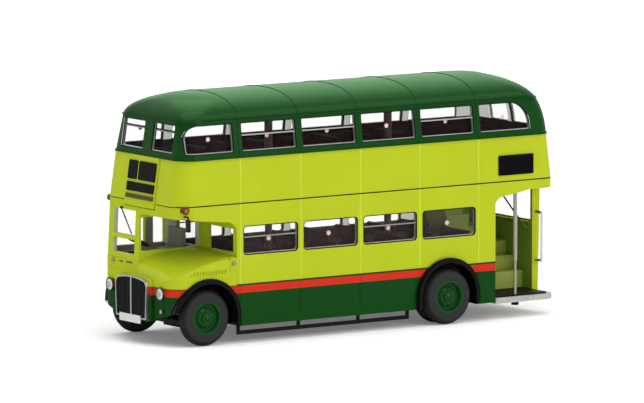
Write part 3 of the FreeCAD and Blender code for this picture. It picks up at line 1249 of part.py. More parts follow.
def make_radiator():
    start = float(nose_face_x + d.fit_gap)
    t, depth = float(d.grille_frame_width), float(d.grille_depth)
    outer = grille_face(start, d.grille_half_width_top, d.grille_half_width_bottom,
                        d.grille_shoulder_level, d.grille_crown_level, d.grille_foot_level)
    inner = grille_face(start, d.grille_half_width_top - t, d.grille_half_width_bottom - t,
                        d.grille_shoulder_level - t, d.grille_crown_level - t,
                        d.grille_foot_level + t)
    surround = outer.extrude(X_AXIS * depth).cut(inner.extrude(X_AXIS * depth))
    bar_half = float(d.grille_bar_width) / 2
    bar = block(start + d.grille_back_depth + d.grille_slat_depth + d.fit_gap, start + depth,
                -bar_half, bar_half,
                d.grille_foot_level + t / 2, d.grille_crown_level - t / 2)
    surround = surround.fuse(bar)
    surround_obj = node(shaped("surround", surround), "radiator_surround")
    gap = t + float(d.fit_gap)
    core = grille_face(start, d.grille_half_width_top - gap, d.grille_half_width_bottom - gap,
                       d.grille_shoulder_level - gap, d.grille_crown_level - gap,
                       d.grille_foot_level + gap)
    plate = core.extrude(X_AXIS * float(d.grille_back_depth))
    slats = core.extrude(X_AXIS * float(d.grille_back_depth + d.grille_slat_depth))
    pitch, half = float(d.grille_slat_pitch), float(d.grille_slat_width) / 2
    count = int(float(d.grille_half_width_top) / pitch)
    ribs = []
    for i in range(-count, count + 1):
        ribs.append(block(start - d.cut_overrun, start + depth, i * pitch - half,
                          i * pitch + half, d.grille_foot_level, d.grille_crown_level))
    core_solid = plate.fuse([slats.common(rib) for rib in ribs])
    node(shaped("radiator", core_solid), "radiator_grille")
    return surround_obj


def turned_lamp(label, x, y, z, steps, facing=1):
    """A lamp turned about the X axis from (radius, distance ahead) steps."""
    points = [(radius, ahead) for radius, ahead in steps]
    body = revolved(label + "_turned", points, (x, y, z))
    body.Placement = FreeCAD.Placement(vec(x, y, z), FreeCAD.Rotation(Z_AXIS, -90 * facing))
    place(body, x, y, z)
    return node(body, label)


def make_lamps():
    face = wings_front_x + d.fit_gap
    r, lens, length = d.headlamp_radius, d.headlamp_lens_radius, d.headlamp_length
    bulge = d.headlamp_lens_bulge
    steps = [(0 * r, 0 * r), (r - bulge, 0 * r), (r, length / 2), (r, length), (lens, length),
             (lens, length - bulge / 2), (lens / 2, length + bulge / 2),
             (0 * r, length + bulge / 2 + d.fit_gap)]
    for label, y in (("headlamp_nearside", d.headlamp_y), ("headlamp_offside", -d.headlamp_y)):
        turned_lamp(label, face, y, d.headlamp_level, steps)
    r, length = d.fog_lamp_radius, d.fog_lamp_length
    plain = [(0 * r, 0 * r), (r, 0 * r), (r, length * lamp_rim_share), (r * lamp_rim_share,
             length), (0 * r, length)]
    turned_lamp("fog_lamp", face, d.fog_lamp_y, d.fog_lamp_level, plain)
    r, length = d.side_lamp_radius, d.side_lamp_length
    plain = [(0 * r, 0 * r), (r, 0 * r), (r, length * lamp_rim_share), (r * lamp_rim_share,
             length), (0 * r, length)]
    turned_lamp("side_lamp_offside", cab_front_x + d.fit_gap, -d.side_lamp_y, d.side_lamp_level,
                plain)
    r = d.bonnet_lamp_radius
    face_y = d.body_half_width + d.end_panel_proud
    bonnet_lamp = rod((bulkhead_x + d.bonnet_lamp_setback, face_y, d.bonnet_lamp_level),
                      (bulkhead_x + d.bonnet_lamp_setback, face_y + length,
                       d.bonnet_lamp_level), r)
    node(shaped("bonnet_lamp", bonnet_lamp), "side_lamp_nearside")
    r, length = d.tail_lamp_radius, d.tail_lamp_length
    plain = [(0 * r, 0 * r), (r, 0 * r), (r, length * lamp_rim_share), (r * lamp_rim_share,
             length), (0 * r, length)]
    lamp_x = Size(lower_outline(d.tail_lamp_level)[1], repr(lower_outline(d.tail_lamp_level)[1]))
    turned_lamp("tail_lamp", lamp_x - d.fit_gap, -d.tail_lamp_y, d.tail_lamp_level, plain, -1)
    half = d.plate_length / 2
    box_plate = box("front_plate", (nose_x - d.plate_thickness, -half, d.plate_bottom_level),
                    (d.plate_thickness, d.plate_length, d.plate_height))
    node(box_plate, "front_number_plate")
    wall_x = lower_outline(float(d.rear_plate_level + d.plate_height))[1] - float(d.fit_gap)
    rear_plate = block(wall_x - float(d.plate_thickness), wall_x, d.rear_plate_y - half,
                       d.rear_plate_y + half, d.rear_plate_level,
                       d.rear_plate_level + d.plate_height)
    node(shaped("rear_plate", rear_plate), "rear_number_plate")


lamp_rim_share = 0.7


def make_ears_and_mirror():
    """The indicator ears on both front corners, and the nearside mirror on its arm."""
    x, z = nose_x - d.indicator_setback, d.indicator_level
    bodies = [lower_solid(-float(d.fit_gap)), upper_solid(-float(d.fit_gap), 0.0)]
    ear = rod((x, d.indicator_root_y, z), (x, d.indicator_face_y, z), d.indicator_radius)
    ear = ear.cut(bodies)
    for label, shape in zip(("nearside", "offside"), both_sides(ear)):
        node(shaped("ear_" + label, shape), "indicator_" + label)
    reach = d.body_half_width + d.fit_gap + d.mirror_reach
    half = d.mirror_height / 2
    knee = (x, reach, d.mirror_arm_level)
    arm = rod((x, d.indicator_root_y, d.mirror_arm_level), knee, d.mirror_arm_radius)
    arm = arm.fuse(rod(knee, (x, reach, d.mirror_level + half), d.mirror_arm_radius))
    y0 = reach - d.mirror_width / 2
    plate = rounded_prism("x", y0, y0 + d.mirror_width, d.mirror_level - half,
                          d.mirror_level + half, [d.mirror_thickness / 2] * 4,
                          x - d.mirror_thickness / 2, x + d.mirror_thickness / 2)
    node(shaped("mirror", plate.fuse(arm).cut(bodies)), "mirror_nearside")


def slope_turn(shape):
    """Leans a front plate back with the front panel, about the panel's foot."""
    rise = float(d.belt_level - d.deck_joint_level)
    angle = math.degrees(math.atan(float(d.deck_front_lean) / rise))
    return shape.rotate(vec(deck_front_x + d.cowl_depth, 0, d.deck_joint_level), Y_AXIS, -angle)


def make_blinds():
    face = float(deck_front_x + d.cowl_depth + d.fit_gap)
    t = float(d.blind_thickness)
    outer, top = float(d.blind_outer_y), float(d.blind_top_level)
    low = top - float(d.blind_upper_height)
    split = -outer + float(d.number_blind_width)
    gap = float(d.blind_gap)
    r = [d.blind_gap / 2] * 4
    lower_top = low - gap
    lower_foot = lower_top - float(d.blind_lower_height)
    vent_top = lower_foot - gap
    frames = [("front_number_blind", -outer, split, low, top),
              ("front_destination_blind", split + gap, outer, low, top),
              ("front_route_blind", -outer, outer, lower_foot, lower_top)]
    for label, y0, y1, z0, z1 in frames:
        plate = rounded_prism("x", y0, y1, z0, z1, r, face, face + t)
        node(shaped(label, slope_turn(plate)), label)
    vent = rounded_prism("x", -outer, outer, vent_top - float(d.vent_height), vent_top,
                         [d.fit_gap] * 4, face, face + t)
    node(shaped("vent", slope_turn(vent)), "front_vent")
    rear = doorway_x - d.side_blind_setback - d.side_blind_length
    for label, side in (("nearside", 1), ("offside", -1)):
        y0 = d.body_half_width + d.fit_gap
        plate = rounded_prism("y", rear, rear + d.side_blind_length, d.side_blind_level,
                              d.side_blind_level + d.side_blind_height, r, y0, y0 + t)
        if side < 0:
            plate = plate.mirror(V(0, 0, 0), Y_AXIS)
        node(shaped("side_blind_" + label, plate), "side_blind_" + label)
    half = d.rear_blind_width / 2
    x1 = float(deck_rear_x - d.fit_gap)
    plate = rounded_prism("x", -half, half, d.rear_blind_level, d.rear_blind_level
                          + d.rear_blind_height, r, x1 - t, x1)
    rise = float(d.belt_level - d.deck_joint_level)
    angle = math.degrees(math.atan(float(d.deck_rear_lean) / rise))
    plate = plate.rotate(vec(deck_rear_x, 0, d.deck_joint_level), Y_AXIS, angle)
    node(shaped("rear_blind_plate", plate), "rear_blind")


def make_platform():
    low, top = d.platform_level - d.platform_edge_height, d.platform_level
    outline = [tail_x, d.body_half_width, d.platform_corner_radius]
    plan = Part.Face(plan_wire(nose_x, outline[0], outline[1], outline[2], outline[2], low))
    slab = plan.extrude(Z_AXIS * float(top - low))
    gap = d.fit_gap
    inner_x = rear_wall_x + d.rear_wall_thickness + gap
    outside = block(tail_x - gap, doorway_x - gap, d.rear_wall_end_y + gap, nose_x, 0, nose_x)
    inside = block(inner_x, doorway_x - gap, -inner_half_width + gap, d.body_half_width, 0,
                   nose_x)
    inside = inside.common(lower_solid(float(d.casting_wall + gap), float(d.cut_overrun)))
    slab = slab.common(outside.fuse(inside))
    node(shaped("platform", slab), "rear_platform")
    w = d.platform_edge_width
    mat_plan = Part.Face(plan_wire(nose_x, outline[0] + w, outline[1] - w, outline[2] - w,
                                   outline[2] - w, top + gap))
    mat = mat_plan.extrude(Z_AXIS * float(d.platform_mat_depth))
    mat = mat.common(outside.fuse(inside)).common(block(inner_x, doorway_x - gap, -nose_x,
                                                        nose_x, 0, nose_x))
    return node(shaped("mat", mat), "platform_mat")


def make_staircase():
    floor = d.platform_level + d.platform_mat_depth + 2 * d.fit_gap
    steps = []
    cross_front = stair_rear_x + d.stair_cross_length
    y, top = d.stair_first_y, floor
    for i in range(int(float(d.stair_cross_step_count))):
        top = top + (d.stair_riser if i else d.stair_first_riser)
        steps.append(block(stair_rear_x, cross_front, stair_offside_y, y, floor, top))
        y = y - d.stair_tread
    inner_y = stair_offside_y + d.stair_width
    top = top + d.stair_riser
    steps.append(block(stair_rear_x, cross_front, stair_offside_y, inner_y, floor, top))
    x = cross_front
    for _ in range(int(float(d.stair_forward_step_count))):
        top = top + d.stair_riser
        steps.append(block(x - d.fit_gap, x + d.stair_forward_tread, stair_offside_y, inner_y,
                           floor, top))
        x = x + d.stair_forward_tread
    screen = block(cross_front, x, inner_y - d.fit_gap, inner_y + d.stair_screen_thickness,
                   floor, d.stair_screen_level)
    stairs = steps[0].fuse(steps[1:] + [screen])
    stairs = stairs.common(lower_solid(float(d.casting_wall + d.stair_wall_gap), 0.0))
    return node(shaped("stairs", stairs), "staircase")


def make_handrail():
    """The sloping rail beside the stairs, both ends turned in to the rear wall."""
    wall = rear_wall_x + d.rear_wall_thickness + d.fit_gap
    x, r = wall + d.handrail_standoff, d.handrail_radius
    foot = (x, d.handrail_foot_y, d.handrail_foot_level)
    head = (x, d.handrail_head_y, d.handrail_head_level)
    boss = r * d.handrail_boss_share
    rail = rod(foot, head, r)
    ends = [rod((wall, y, z), (x + boss, y, z), boss) for x, y, z in (foot, head)]
    node(shaped("handrail", rail.fuse(ends)), "stair_handrail")


def make_rails():
    foot = d.platform_level + d.platform_mat_depth + 2 * d.fit_gap
    spot = (doorway_x - d.pole_x_from_doorway, d.body_half_width - d.pole_edge_inset)
    sleeve = cylinder("pole_sleeve", d.pole_radius, d.pole_top_level - d.pole_sleeve_level,
                      spot + (d.pole_sleeve_level,))
    core = cylinder("pole_core", d.pole_foot_radius, d.pole_top_level - foot, spot + (foot,))
    node(fuse("pole", [sleeve, core]), "platform_pole")
    r = d.grab_radius
    x = rear_wall_x + d.grab_setback
    y = d.rear_wall_end_y + d.grab_standoff
    bar = rod((x, y, d.grab_bottom_level), (x, y, d.grab_top_level), r)
    ends = []
    for z in (d.grab_bottom_level + r, d.grab_top_level - r):
        ends.append(rod((x, d.rear_wall_end_y + d.fit_gap, z), (x, y, z), r))
    node(shaped("grab", bar.fuse(ends)), "rear_grab_rail")
    under = d.platform_level - d.platform_edge_height - d.fit_gap
    node(cylinder("pole_rivet", d.pole_rivet_radius, d.pole_rivet_height,
                  spot + (under - d.pole_rivet_height,)), "platform_pole_rivet")
    make_handrail()
    rail_front = pillar_x - d.rail_front_setback
    rail_rear = rear_axle_x + d.arch_radius + d.rail_rear_reach
    for label, side in (("nearside", 1), ("offside", -1)):
        y0 = float(d.rail_y) if side > 0 else -float(d.rail_y + d.rail_width)
        y1 = y0 + float(d.rail_width)
        top = d.rail_bottom_level + d.rail_height
        rail = block(rail_rear, rail_front, y0, y1, d.rail_bottom_level, top)
        posts = []
        for i in range(4):
            if i == 3:
                post_front = rail_rear + d.rail_post_width
            else:
                post_front = rail_front - i * bay_pitch
            posts.append(block(post_front - d.rail_post_width, post_front, y0, y1,
                               top - d.fit_gap, d.base_level - d.fit_gap))
        node(shaped("rail_" + label, rail.fuse(posts)), "guard_rail_" + label)


def make_cab_fittings():
    x = cab_front_x - d.steering_x_back
    centre = vec(x, d.steering_y, d.steering_level)
    ring = Part.makeTorus(float(d.wheel_ring_radius), float(d.wheel_ring_tube), centre, Z_AXIS)
    hub = Part.makeCylinder(float(d.wheel_hub_radius), float(d.wheel_ring_tube),
                            centre - Z_AXIS * (float(d.wheel_ring_tube) / 2), Z_AXIS)
    reach = float(d.wheel_ring_radius)
    spokes = []
    for turn in (90, 210, 330):
        arm = V(math.cos(math.radians(turn)), math.sin(math.radians(turn)), 0) * reach
        spokes.append(Part.makeCylinder(float(d.wheel_ring_tube) * spoke_share, reach, centre,
                                        arm))
    column_foot = float(d.cab_floor_level + d.cab_floor_thickness + d.fit_gap)
    column = Part.makeCylinder(float(d.wheel_ring_tube), centre.z - column_foot,
                               V(centre.x, centre.y, column_foot), Z_AXIS)
    wheel = ring.fuse([hub] + spokes)
    wheel = wheel.rotate(centre, Y_AXIS, float(d.steering_rake_degrees) * -1)
    node(shaped("steering", wheel.fuse(column)), "steering_wheel")
    inner_y = d.cab_wall_y - d.cab_wall_thickness - 2 * d.fit_gap - d.glass_thickness
    floor_z = d.cab_floor_level
    half = inner_half_width - 2 * d.fit_gap
    floor = block(bulkhead_x + d.fit_gap, cab_front_x - glass_inner - d.fit_gap, -half,
                  inner_y, floor_z, floor_z + d.cab_floor_thickness)
    top = floor_z + d.cab_floor_thickness
    y0 = d.steering_y - d.driver_seat_width / 2
    y1 = y0 + d.driver_seat_width
    back_x = bulkhead_x + d.driver_seat_gap
    r = [d.seat_back_radius] * 4
    back = rounded_prism("y", back_x, back_x + d.driver_back_thickness, top - d.fit_gap,
                         top + d.driver_back_height, r, y0, y1)
    cushion = rounded_prism("y", back_x, back_x + d.driver_seat_depth, top - d.fit_gap,
                            top + d.driver_seat_height, r, y0, y1)
    dash_front = cab_front_x - glass_inner - d.dash_gap
    dash = block(dash_front - d.dash_depth, dash_front, -half, inner_y, top - d.fit_gap,
                 top + d.dash_height)
    whole = floor.fuse([back, cushion, dash])
    whole = whole.common(lower_solid(float(glass_inner + d.fit_gap), 0.0))
    node(shaped("cab_interior", whole), "cab_seat_and_floor")
    pivot = (d.wiper_pivot_y, d.canopy_level)
    x0 = cab_front_x - (cab_front_x - deck_front_x) * wiper_lean_share + d.wiper_radius
    tip = (x0 + d.fit_gap, d.wiper_tip_y, d.wiper_tip_level)
    start = (x0 + d.fit_gap, pivot[0], pivot[1] + d.wiper_pivot_radius)
    wiper = rod(start, tip, d.wiper_radius)
    boss = rod((start[0] - d.wiper_radius, start[1], start[2]),
               (start[0] + d.wiper_radius, start[1], start[2]), d.wiper_pivot_radius)
    node(shaped("wiper", wiper.fuse(boss)), "windscreen_wiper")


spoke_share = 0.6
wiper_lean_share = 0.6


def export():
    os.makedirs("parts", exist_ok=True)
    doc.recompute()
    for obj in doc.Objects:
        if "Invalid" in obj.State or "Error" in obj.State:
            raise RuntimeError("{} failed: {}".format(obj.Label, obj.State))
    for obj in NODES:
        shape = obj.Shape
        if shape.isNull() or not shape.isValid() or not shape.Solids:
            raise RuntimeError("{} has no sound solid".format(obj.Label))
        shape.exportStep("parts/{}.step".format(obj.Label))
        box_now = shape.optimalBoundingBox(False)
        print("{:28s} {:2d} solids {:9.1f} mm3  x {:7.2f} {:7.2f}  y {:6.2f} {:6.2f}  z {:6.2f} "
              "{:6.2f}".format(obj.Label, len(shape.Solids), shape.Volume, box_now.XMin,
                               box_now.XMax, box_now.YMin, box_now.YMax, box_now.ZMin,
                               box_now.ZMax))


make_upper_body()
make_lower_body()
make_bonnet()
make_radiator()
make_base_plate()
make_posts()
make_lower_seats()
make_upper_seats()
make_upper_glazing()
make_lower_glazing()
make_rear_glazing()
make_cab_glazing()
make_cab_fittings()
make_lamps()
make_ears_and_mirror()
make_blinds()
make_platform()
make_staircase()
make_rails()
for axle_name in ("front", "rear"):
    is_twin = axle_name == "rear"
    make_axle(axle_name + "_axle", axle_name)
    for side_name, side_sign in (("nearside", 1), ("offside", -1)):
        make_tyre("{}_tyre_{}".format(axle_name, side_name), axle_name, side_sign, is_twin)
        make_hub("{}_wheel_{}".format(axle_name, side_name), axle_name, side_sign, is_twin)
        make_mudguard("{}_mudguard_{}".format(axle_name, side_name), axle_name, side_sign)
export()
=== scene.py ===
"""Looks for the 1:76 die-cast model of a half-cab double-decker bus.

Places are in millimetres in the model's frame: x towards the radiator, y towards the nearside
with the platform, and z up from the ground. Blender's own units are metres.
"""

import math

import bmesh
import bpy
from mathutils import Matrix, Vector


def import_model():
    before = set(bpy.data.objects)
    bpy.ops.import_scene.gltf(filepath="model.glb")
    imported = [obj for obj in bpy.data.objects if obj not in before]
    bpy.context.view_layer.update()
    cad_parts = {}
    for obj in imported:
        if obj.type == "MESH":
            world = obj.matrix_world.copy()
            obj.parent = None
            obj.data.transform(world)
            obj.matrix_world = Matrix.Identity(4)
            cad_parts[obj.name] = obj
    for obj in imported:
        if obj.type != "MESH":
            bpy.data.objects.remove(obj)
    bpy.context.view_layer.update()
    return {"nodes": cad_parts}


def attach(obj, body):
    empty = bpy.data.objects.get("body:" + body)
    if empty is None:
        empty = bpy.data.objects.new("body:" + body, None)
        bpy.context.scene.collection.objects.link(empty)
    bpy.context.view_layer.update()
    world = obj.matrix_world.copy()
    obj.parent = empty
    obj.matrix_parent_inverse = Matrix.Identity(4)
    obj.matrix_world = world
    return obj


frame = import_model()
NODES = frame["nodes"]
BODY = "body"
MM = 0.001
SIDES = (("nearside", 1), ("offside", -1))

# Places that the paint and the trim share
FIRST_PILLAR_X, BAY, BAYS = 34.855, 16.788, 4
LAST_PILLAR_X = FIRST_PILLAR_X - BAYS * BAY
BELT, GUTTER, ROOF, JOINT = 43.1, 52.1, 57.45, 32.75
STRIPE_LOW, STRIPE_HIGH, STRIPE_LINE = 11.85, 13.5, 13.95
FRONT_AXLE_X, REAR_AXLE_X, WHEEL_Z = 43.905, -23.4, 6.6
LOWER_SILL, LOWER_HEAD = 20.6, 27.35
UPPER_SILL, UPPER_HEAD = 44.55, 51.3


# Materials

MIX_FACTOR, MIX_A, MIX_B, MIX_COLOUR = 0, 6, 7, 2


def is_output(value):
    """Whether a value is a node's output, and not a plain number or colour."""
    return hasattr(value, "is_output")


class Graph:
    """A small helper round one material's node tree."""

    def __init__(self, name):
        self.material = bpy.data.materials.new(name)
        self.material.use_nodes = True
        self.tree = self.material.node_tree
        self.tree.nodes.clear()
        out = self.node("ShaderNodeOutputMaterial")
        self.shader = self.node("ShaderNodeBsdfPrincipled")
        self.link(self.shader.outputs[0], out.inputs["Surface"])
        coords = self.node("ShaderNodeTexCoord")
        self.position = coords.outputs["Object"]
        place = self.node("ShaderNodeSeparateXYZ", Vector=self.position)
        self.x, self.y, self.z = place.outputs
        facing = self.node("ShaderNodeSeparateXYZ", Vector=coords.outputs["Normal"])
        self.nx, self.ny, self.nz = facing.outputs

    def link(self, output, socket):
        self.tree.links.new(output, socket)

    def feed(self, socket, value):
        """Links an output to a socket, or sets a plain value on it."""
        if is_output(value):
            self.link(value, socket)
        else:
            socket.default_value = value

    def feed_colour(self, socket, value):
        self.feed(socket, value if is_output(value) else (*value, 1.0))

    def node(self, kind, **inputs):
        """A new node. Its inputs are given by name, with an underscore for each space."""
        made = self.tree.nodes.new(kind)
        for key, value in inputs.items():
            self.feed(made.inputs[key.replace("_", " ")], value)
        return made

    def math(self, operation, a, b=0.0):
        made = self.node("ShaderNodeMath")
        made.operation = operation
        self.feed(made.inputs[0], a)
        self.feed(made.inputs[1], b)
        return made.outputs[0]

    def step(self, value, edge, soft=0.03, unit=MM):
        """0 below an edge in millimetres and 1 above it."""
        return self.node("ShaderNodeMapRange", Value=value, From_Min=(edge - soft) * unit,
                         From_Max=(edge + soft) * unit).outputs[0]

    def faces(self, part, least=0.5):
        """1 where a part of the surface's direction is over a least share."""
        return self.step(part, least, soft=0.05, unit=1.0)

    def inverse(self, mask):
        return self.math("SUBTRACT", 1.0, mask)

    def below(self, value, edge):
        return self.inverse(self.step(value, edge))

    def between(self, value, low, high):
        return self.both(self.step(value, low), self.below(value, high))

    def both(self, *values):
        out = values[0]
        for value in values[1:]:
            out = self.math("MULTIPLY", out, value)
        return out

    def either(self, *values):
        out = values[0]
        for value in values[1:]:
            out = self.math("MAXIMUM", out, value)
        return out

    def opposite(self, value):
        return self.math("MULTIPLY", value, -1.0)

    def absolute(self, value):
        return self.math("ABSOLUTE", value)

    def past(self, value, place):
        """How far a value is past a place in millimetres."""
        return self.math("SUBTRACT", value, place * MM)

    def length(self, a, b):
        squares = (self.math("MULTIPLY", value, value) for value in (a, b))
        return self.math("SQRT", self.math("ADD", *squares))

    def outwards(self, part, place):
        """A part of the surface's direction, counted away from the model's middle."""
        return self.math("MULTIPLY", part, self.math("SIGN", place))

    def inward_side(self):
        """1 on the faces of the side walls that look into the body."""
        return self.faces(self.opposite(self.outwards(self.ny, self.y)))

    def mix(self, factor, a, b):
        made = self.node("ShaderNodeMix")
        made.data_type = "RGBA"
        self.link(factor, made.inputs[MIX_FACTOR])
        self.feed_colour(made.inputs[MIX_A], a)
        self.feed_colour(made.inputs[MIX_B], b)
        return made.outputs[MIX_COLOUR]

    def noise(self, size_mm, detail=3.0, rough=0.5):
        return self.node("ShaderNodeTexNoise", Vector=self.position, Scale=1.0 / (size_mm * MM),
                         Detail=detail, Roughness=rough).outputs[0]

    def varied(self, colour, size_mm=2.0, amount=0.06):
        """A colour that wanders slightly darker and lighter."""
        dark = tuple(c * (1 - amount) for c in colour)
        light = tuple(min(1.0, c * (1 + amount)) for c in colour)
        return self.mix(self.noise(size_mm), dark, light)

    def rough(self, low, high, size_mm=1.5):
        made = self.node("ShaderNodeMapRange", Value=self.noise(size_mm), To_Min=low, To_Max=high)
        self.link(made.outputs[0], self.shader.inputs["Roughness"])

    def bump(self, height, strength, distance_mm):
        made = self.node("ShaderNodeBump", Height=height, Strength=strength,
                         Distance=distance_mm * MM)
        self.link(made.outputs[0], self.shader.inputs["Normal"])

    def colour(self, value):
        self.feed_colour(self.shader.inputs["Base Color"], value)

    def glow(self, strength, colour):
        self.link(strength, self.shader.inputs["Emission Strength"])
        self.set(Emission_Color=(*colour, 1.0))

    def set(self, **values):
        """Plain values on the shader's own sockets. It gives the material back."""
        for key, value in values.items():
            self.shader.inputs[key.replace("_", " ")].default_value = value
        return self.material


# Paint

LIME = (0.455, 0.54, 0.018)
GREEN = (0.006, 0.058, 0.008)
RED = (0.62, 0.030, 0.015)
WHEEL_GREEN = (0.006, 0.060, 0.010)
HUB_GREEN = (0.008, 0.062, 0.014)
# The roof's upward faces are painted a lighter green: a painted highlight.
CROWN_PAINTED_HIGHLIGHT = (0.04, 0.20, 0.045)
# The beads' lighter faces and edges are painted highlights.
BEAD_FACE_HIGHLIGHT = (0.56, 0.65, 0.05)
BEAD_EDGE_HIGHLIGHT = (0.85, 0.95, 0.16)
# Painted shade in the gap at the castings' joint.
JOINT_SHADE = (0.01, 0.012, 0.004)
SEAM_SHADE = (0.10, 0.12, 0.008)
LOWER_PILLAR_PALE = (0.75, 0.77, 0.72)
UPPER_PILLAR_PALE = (0.75, 0.77, 0.74)
# The platform's and the saloon's inner walls are the lime painted darker: painted shade.
PLATFORM_WALL_SHADE = (0.20, 0.31, 0.05)
SALOON_WALL_SHADE = (0.13, 0.15, 0.07)
CAB_WALL = (0.62, 0.64, 0.55)
UPPER_WALL = (0.03, 0.022, 0.02)
# Painted shade on the upper casting's downward faces.
UNDERSIDE_SHADE = (0.012, 0.014, 0.006)
# Painted shade inside the bonnet casting and its wheel arches.
ARCH_SHADE = (0.008, 0.012, 0.008)
# The pillars' inner faces glow: painted light.
PILLAR_PAINTED_GLOW, PILLAR_PAINTED_GLOW_COLOUR = 0.5, (0.95, 1.0, 0.93)


def paint(name, base, bands=(), insides=None, pale=None, gloss=0.22):
    """Glossy model paint, with bands from levels upwards and plain colours inside the body.

    The pale inner faces of the window pillars glow a little, which is painted light, as they
    vanish in the photo.
    """
    g = Graph(name)
    colour = g.varied(base, size_mm=9.0, amount=0.05)
    for level, shade in bands:
        colour = g.mix(g.step(g.z, level), colour, g.varied(shade, size_mm=9.0, amount=0.05))
    for mask, shade in (insides(g) if insides else ()):
        colour = g.mix(mask, colour, g.varied(shade, size_mm=3.0, amount=0.1))
    g.colour(colour)
    g.rough(low=0.2, high=0.3, size_mm=2.5)
    g.bump(g.noise(size_mm=0.7, detail=2.0), strength=0.09, distance_mm=0.06)
    # The pillars' glow is painted light.
    if pale:
        g.glow(g.math("MULTIPLY", pale(g), PILLAR_PAINTED_GLOW), PILLAR_PAINTED_GLOW_COLOUR)
    return g.set(Specular_IOR_Level=0.0, Coat_Weight=gloss, Coat_Roughness=0.1)


BEAD_HALF, BEAD_EDGE_SHARE, BEADS_END_X = 0.18, 0.4, 40.0
LOWER_BEAD_Y, UPPER_BEAD_Y = 15.9, 15.7


def painted_bead_highlights(g, bead_y):
    """The beads over the panel joints are painted lighter on their faces and lighter still at
    their edges: painted highlights.
    """
    off = g.math("PINGPONG", g.past(g.x, FIRST_PILLAR_X), BAY / 2 * MM)
    bead = g.both(g.below(off, BEAD_HALF), g.step(g.absolute(g.y), bead_y),
                  g.between(g.z, STRIPE_LINE, BELT), g.below(g.absolute(g.x), BEADS_END_X))
    edge = g.both(bead, g.faces(g.absolute(g.nx), BEAD_EDGE_SHARE))
    return (bead, BEAD_FACE_HIGHLIGHT), (edge, BEAD_EDGE_HIGHLIGHT)


# Where the lower casting's outer skin, its platform, its cab and its top face are
SKIN_Y, SKIN_REAR_X, SKIN_FRONT_X, REAR_WALL_Y = 15.25, -52.5, 50.5, 8.95
OUTWARD_SHARE = 0.2
BULKHEAD_X = -37.0
CAB_BACK_X, CAB_INNER_Y, CAB_LOW_Z = 35.7, 0.25, 15.0
CAB_OUTER_WALL_Y, CAB_INNER_WALL_Y, CAB_BACK_WALL_X = -9.0, -3.0, 38.5
JOINT_FACE_Z = 31.6
LOWER_PILLAR_LOW, LOWER_PILLAR_HIGH = LOWER_SILL + 0.2, LOWER_HEAD + 0.6


def lower_saloon(g):
    return g.both(g.inward_side(), g.between(g.x, BULKHEAD_X, FIRST_PILLAR_X))


def lower_pillars(g):
    return g.both(lower_saloon(g), g.between(g.z, LOWER_PILLAR_LOW, LOWER_PILLAR_HIGH))


def lower_insides(g):
    """The platform's plain walls, the platform's and the saloon's inner walls in painted shade,
    the cab's inner faces, and painted shade at the joint.
    """
    side = g.step(g.absolute(g.y), SKIN_Y)
    outward = g.either(g.faces(g.opposite(g.nx), OUTWARD_SHARE),
                       g.faces(g.opposite(g.ny), OUTWARD_SHARE))
    rear = g.both(g.step(g.opposite(g.x), -SKIN_REAR_X), g.below(g.y, REAR_WALL_Y), outward)
    plain = g.inverse(g.either(side, rear, g.step(g.x, SKIN_FRONT_X)))
    # The platform's inner walls are darker lime: painted shade.
    walls = g.both(g.below(g.x, BULKHEAD_X), g.either(
        g.faces(g.nx), g.both(g.inward_side(), g.below(g.y, 0.0))))
    cab = g.both(g.step(g.x, CAB_BACK_X), g.below(g.y, CAB_INNER_Y), g.step(g.z, CAB_LOW_Z),
                 g.either(g.both(g.faces(g.ny), g.below(g.y, CAB_OUTER_WALL_Y)),
                          g.faces(g.opposite(g.nx)),
                          g.both(g.faces(g.opposite(g.ny)), g.step(g.y, CAB_INNER_WALL_Y)),
                          g.both(g.faces(g.nx), g.below(g.x, CAB_BACK_WALL_X))))
    # The lower casting's upward faces at the joint are painted near black: painted shade in the
    # gap.
    joint = g.both(g.faces(g.nz), g.step(g.z, JOINT_FACE_Z))
    # The saloon's inner walls are darker olive: painted shade.
    return ((plain, LIME), (walls, PLATFORM_WALL_SHADE), (lower_saloon(g), SALOON_WALL_SHADE),
            (lower_pillars(g), LOWER_PILLAR_PALE), (cab, CAB_WALL),
            *painted_bead_highlights(g, LOWER_BEAD_Y), (joint, JOINT_SHADE))


# Where the upper casting's end walls and its seam over the joint are
UPPER_ENDS_X = 47.0
UPPER_PILLAR_LOW, UPPER_PILLAR_HIGH = UPPER_SILL + 0.2, UPPER_HEAD + 0.5
SEAM_HIGH, SEAM_Y = JOINT + 0.13, 14.0
CROWN_POWER, UNDER_SHARE = 12.0, 0.6


def upper_inside(g):
    ends = g.both(g.step(g.absolute(g.x), UPPER_ENDS_X),
                  g.faces(g.opposite(g.outwards(g.nx, g.x))))
    return g.either(g.inward_side(), ends)


def upper_pillars(g):
    return g.both(upper_inside(g), g.between(g.z, UPPER_PILLAR_LOW, UPPER_PILLAR_HIGH))


def upper_insides(g):
    """Painted highlight on the roof's top, dark saloon walls, pale pillars, painted shade at the
    seam and under.
    """
    upward = g.math("MAXIMUM", g.nz, 0.0)
    # Upward faces above the gutter are painted lighter: a painted highlight.
    crown = g.math("POWER", g.both(upward, g.step(g.z, GUTTER)), CROWN_POWER)
    # A thin band at the upper casting's foot and all its downward faces are painted dark: painted
    # shade.
    seam = g.both(g.below(g.z, SEAM_HIGH), g.step(g.absolute(g.y), SEAM_Y))
    under = g.faces(g.opposite(g.nz), UNDER_SHARE)
    return (*painted_bead_highlights(g, UPPER_BEAD_Y), (crown, CROWN_PAINTED_HIGHLIGHT), (upper_inside(g), UPPER_WALL),
            (upper_pillars(g), UPPER_PILLAR_PALE), (seam, SEAM_SHADE), (under, UNDERSIDE_SHADE))


ARCH_Y, ARCH_FRONT_X, ARCH_HIGH = 12.8, 50.5, 15.8


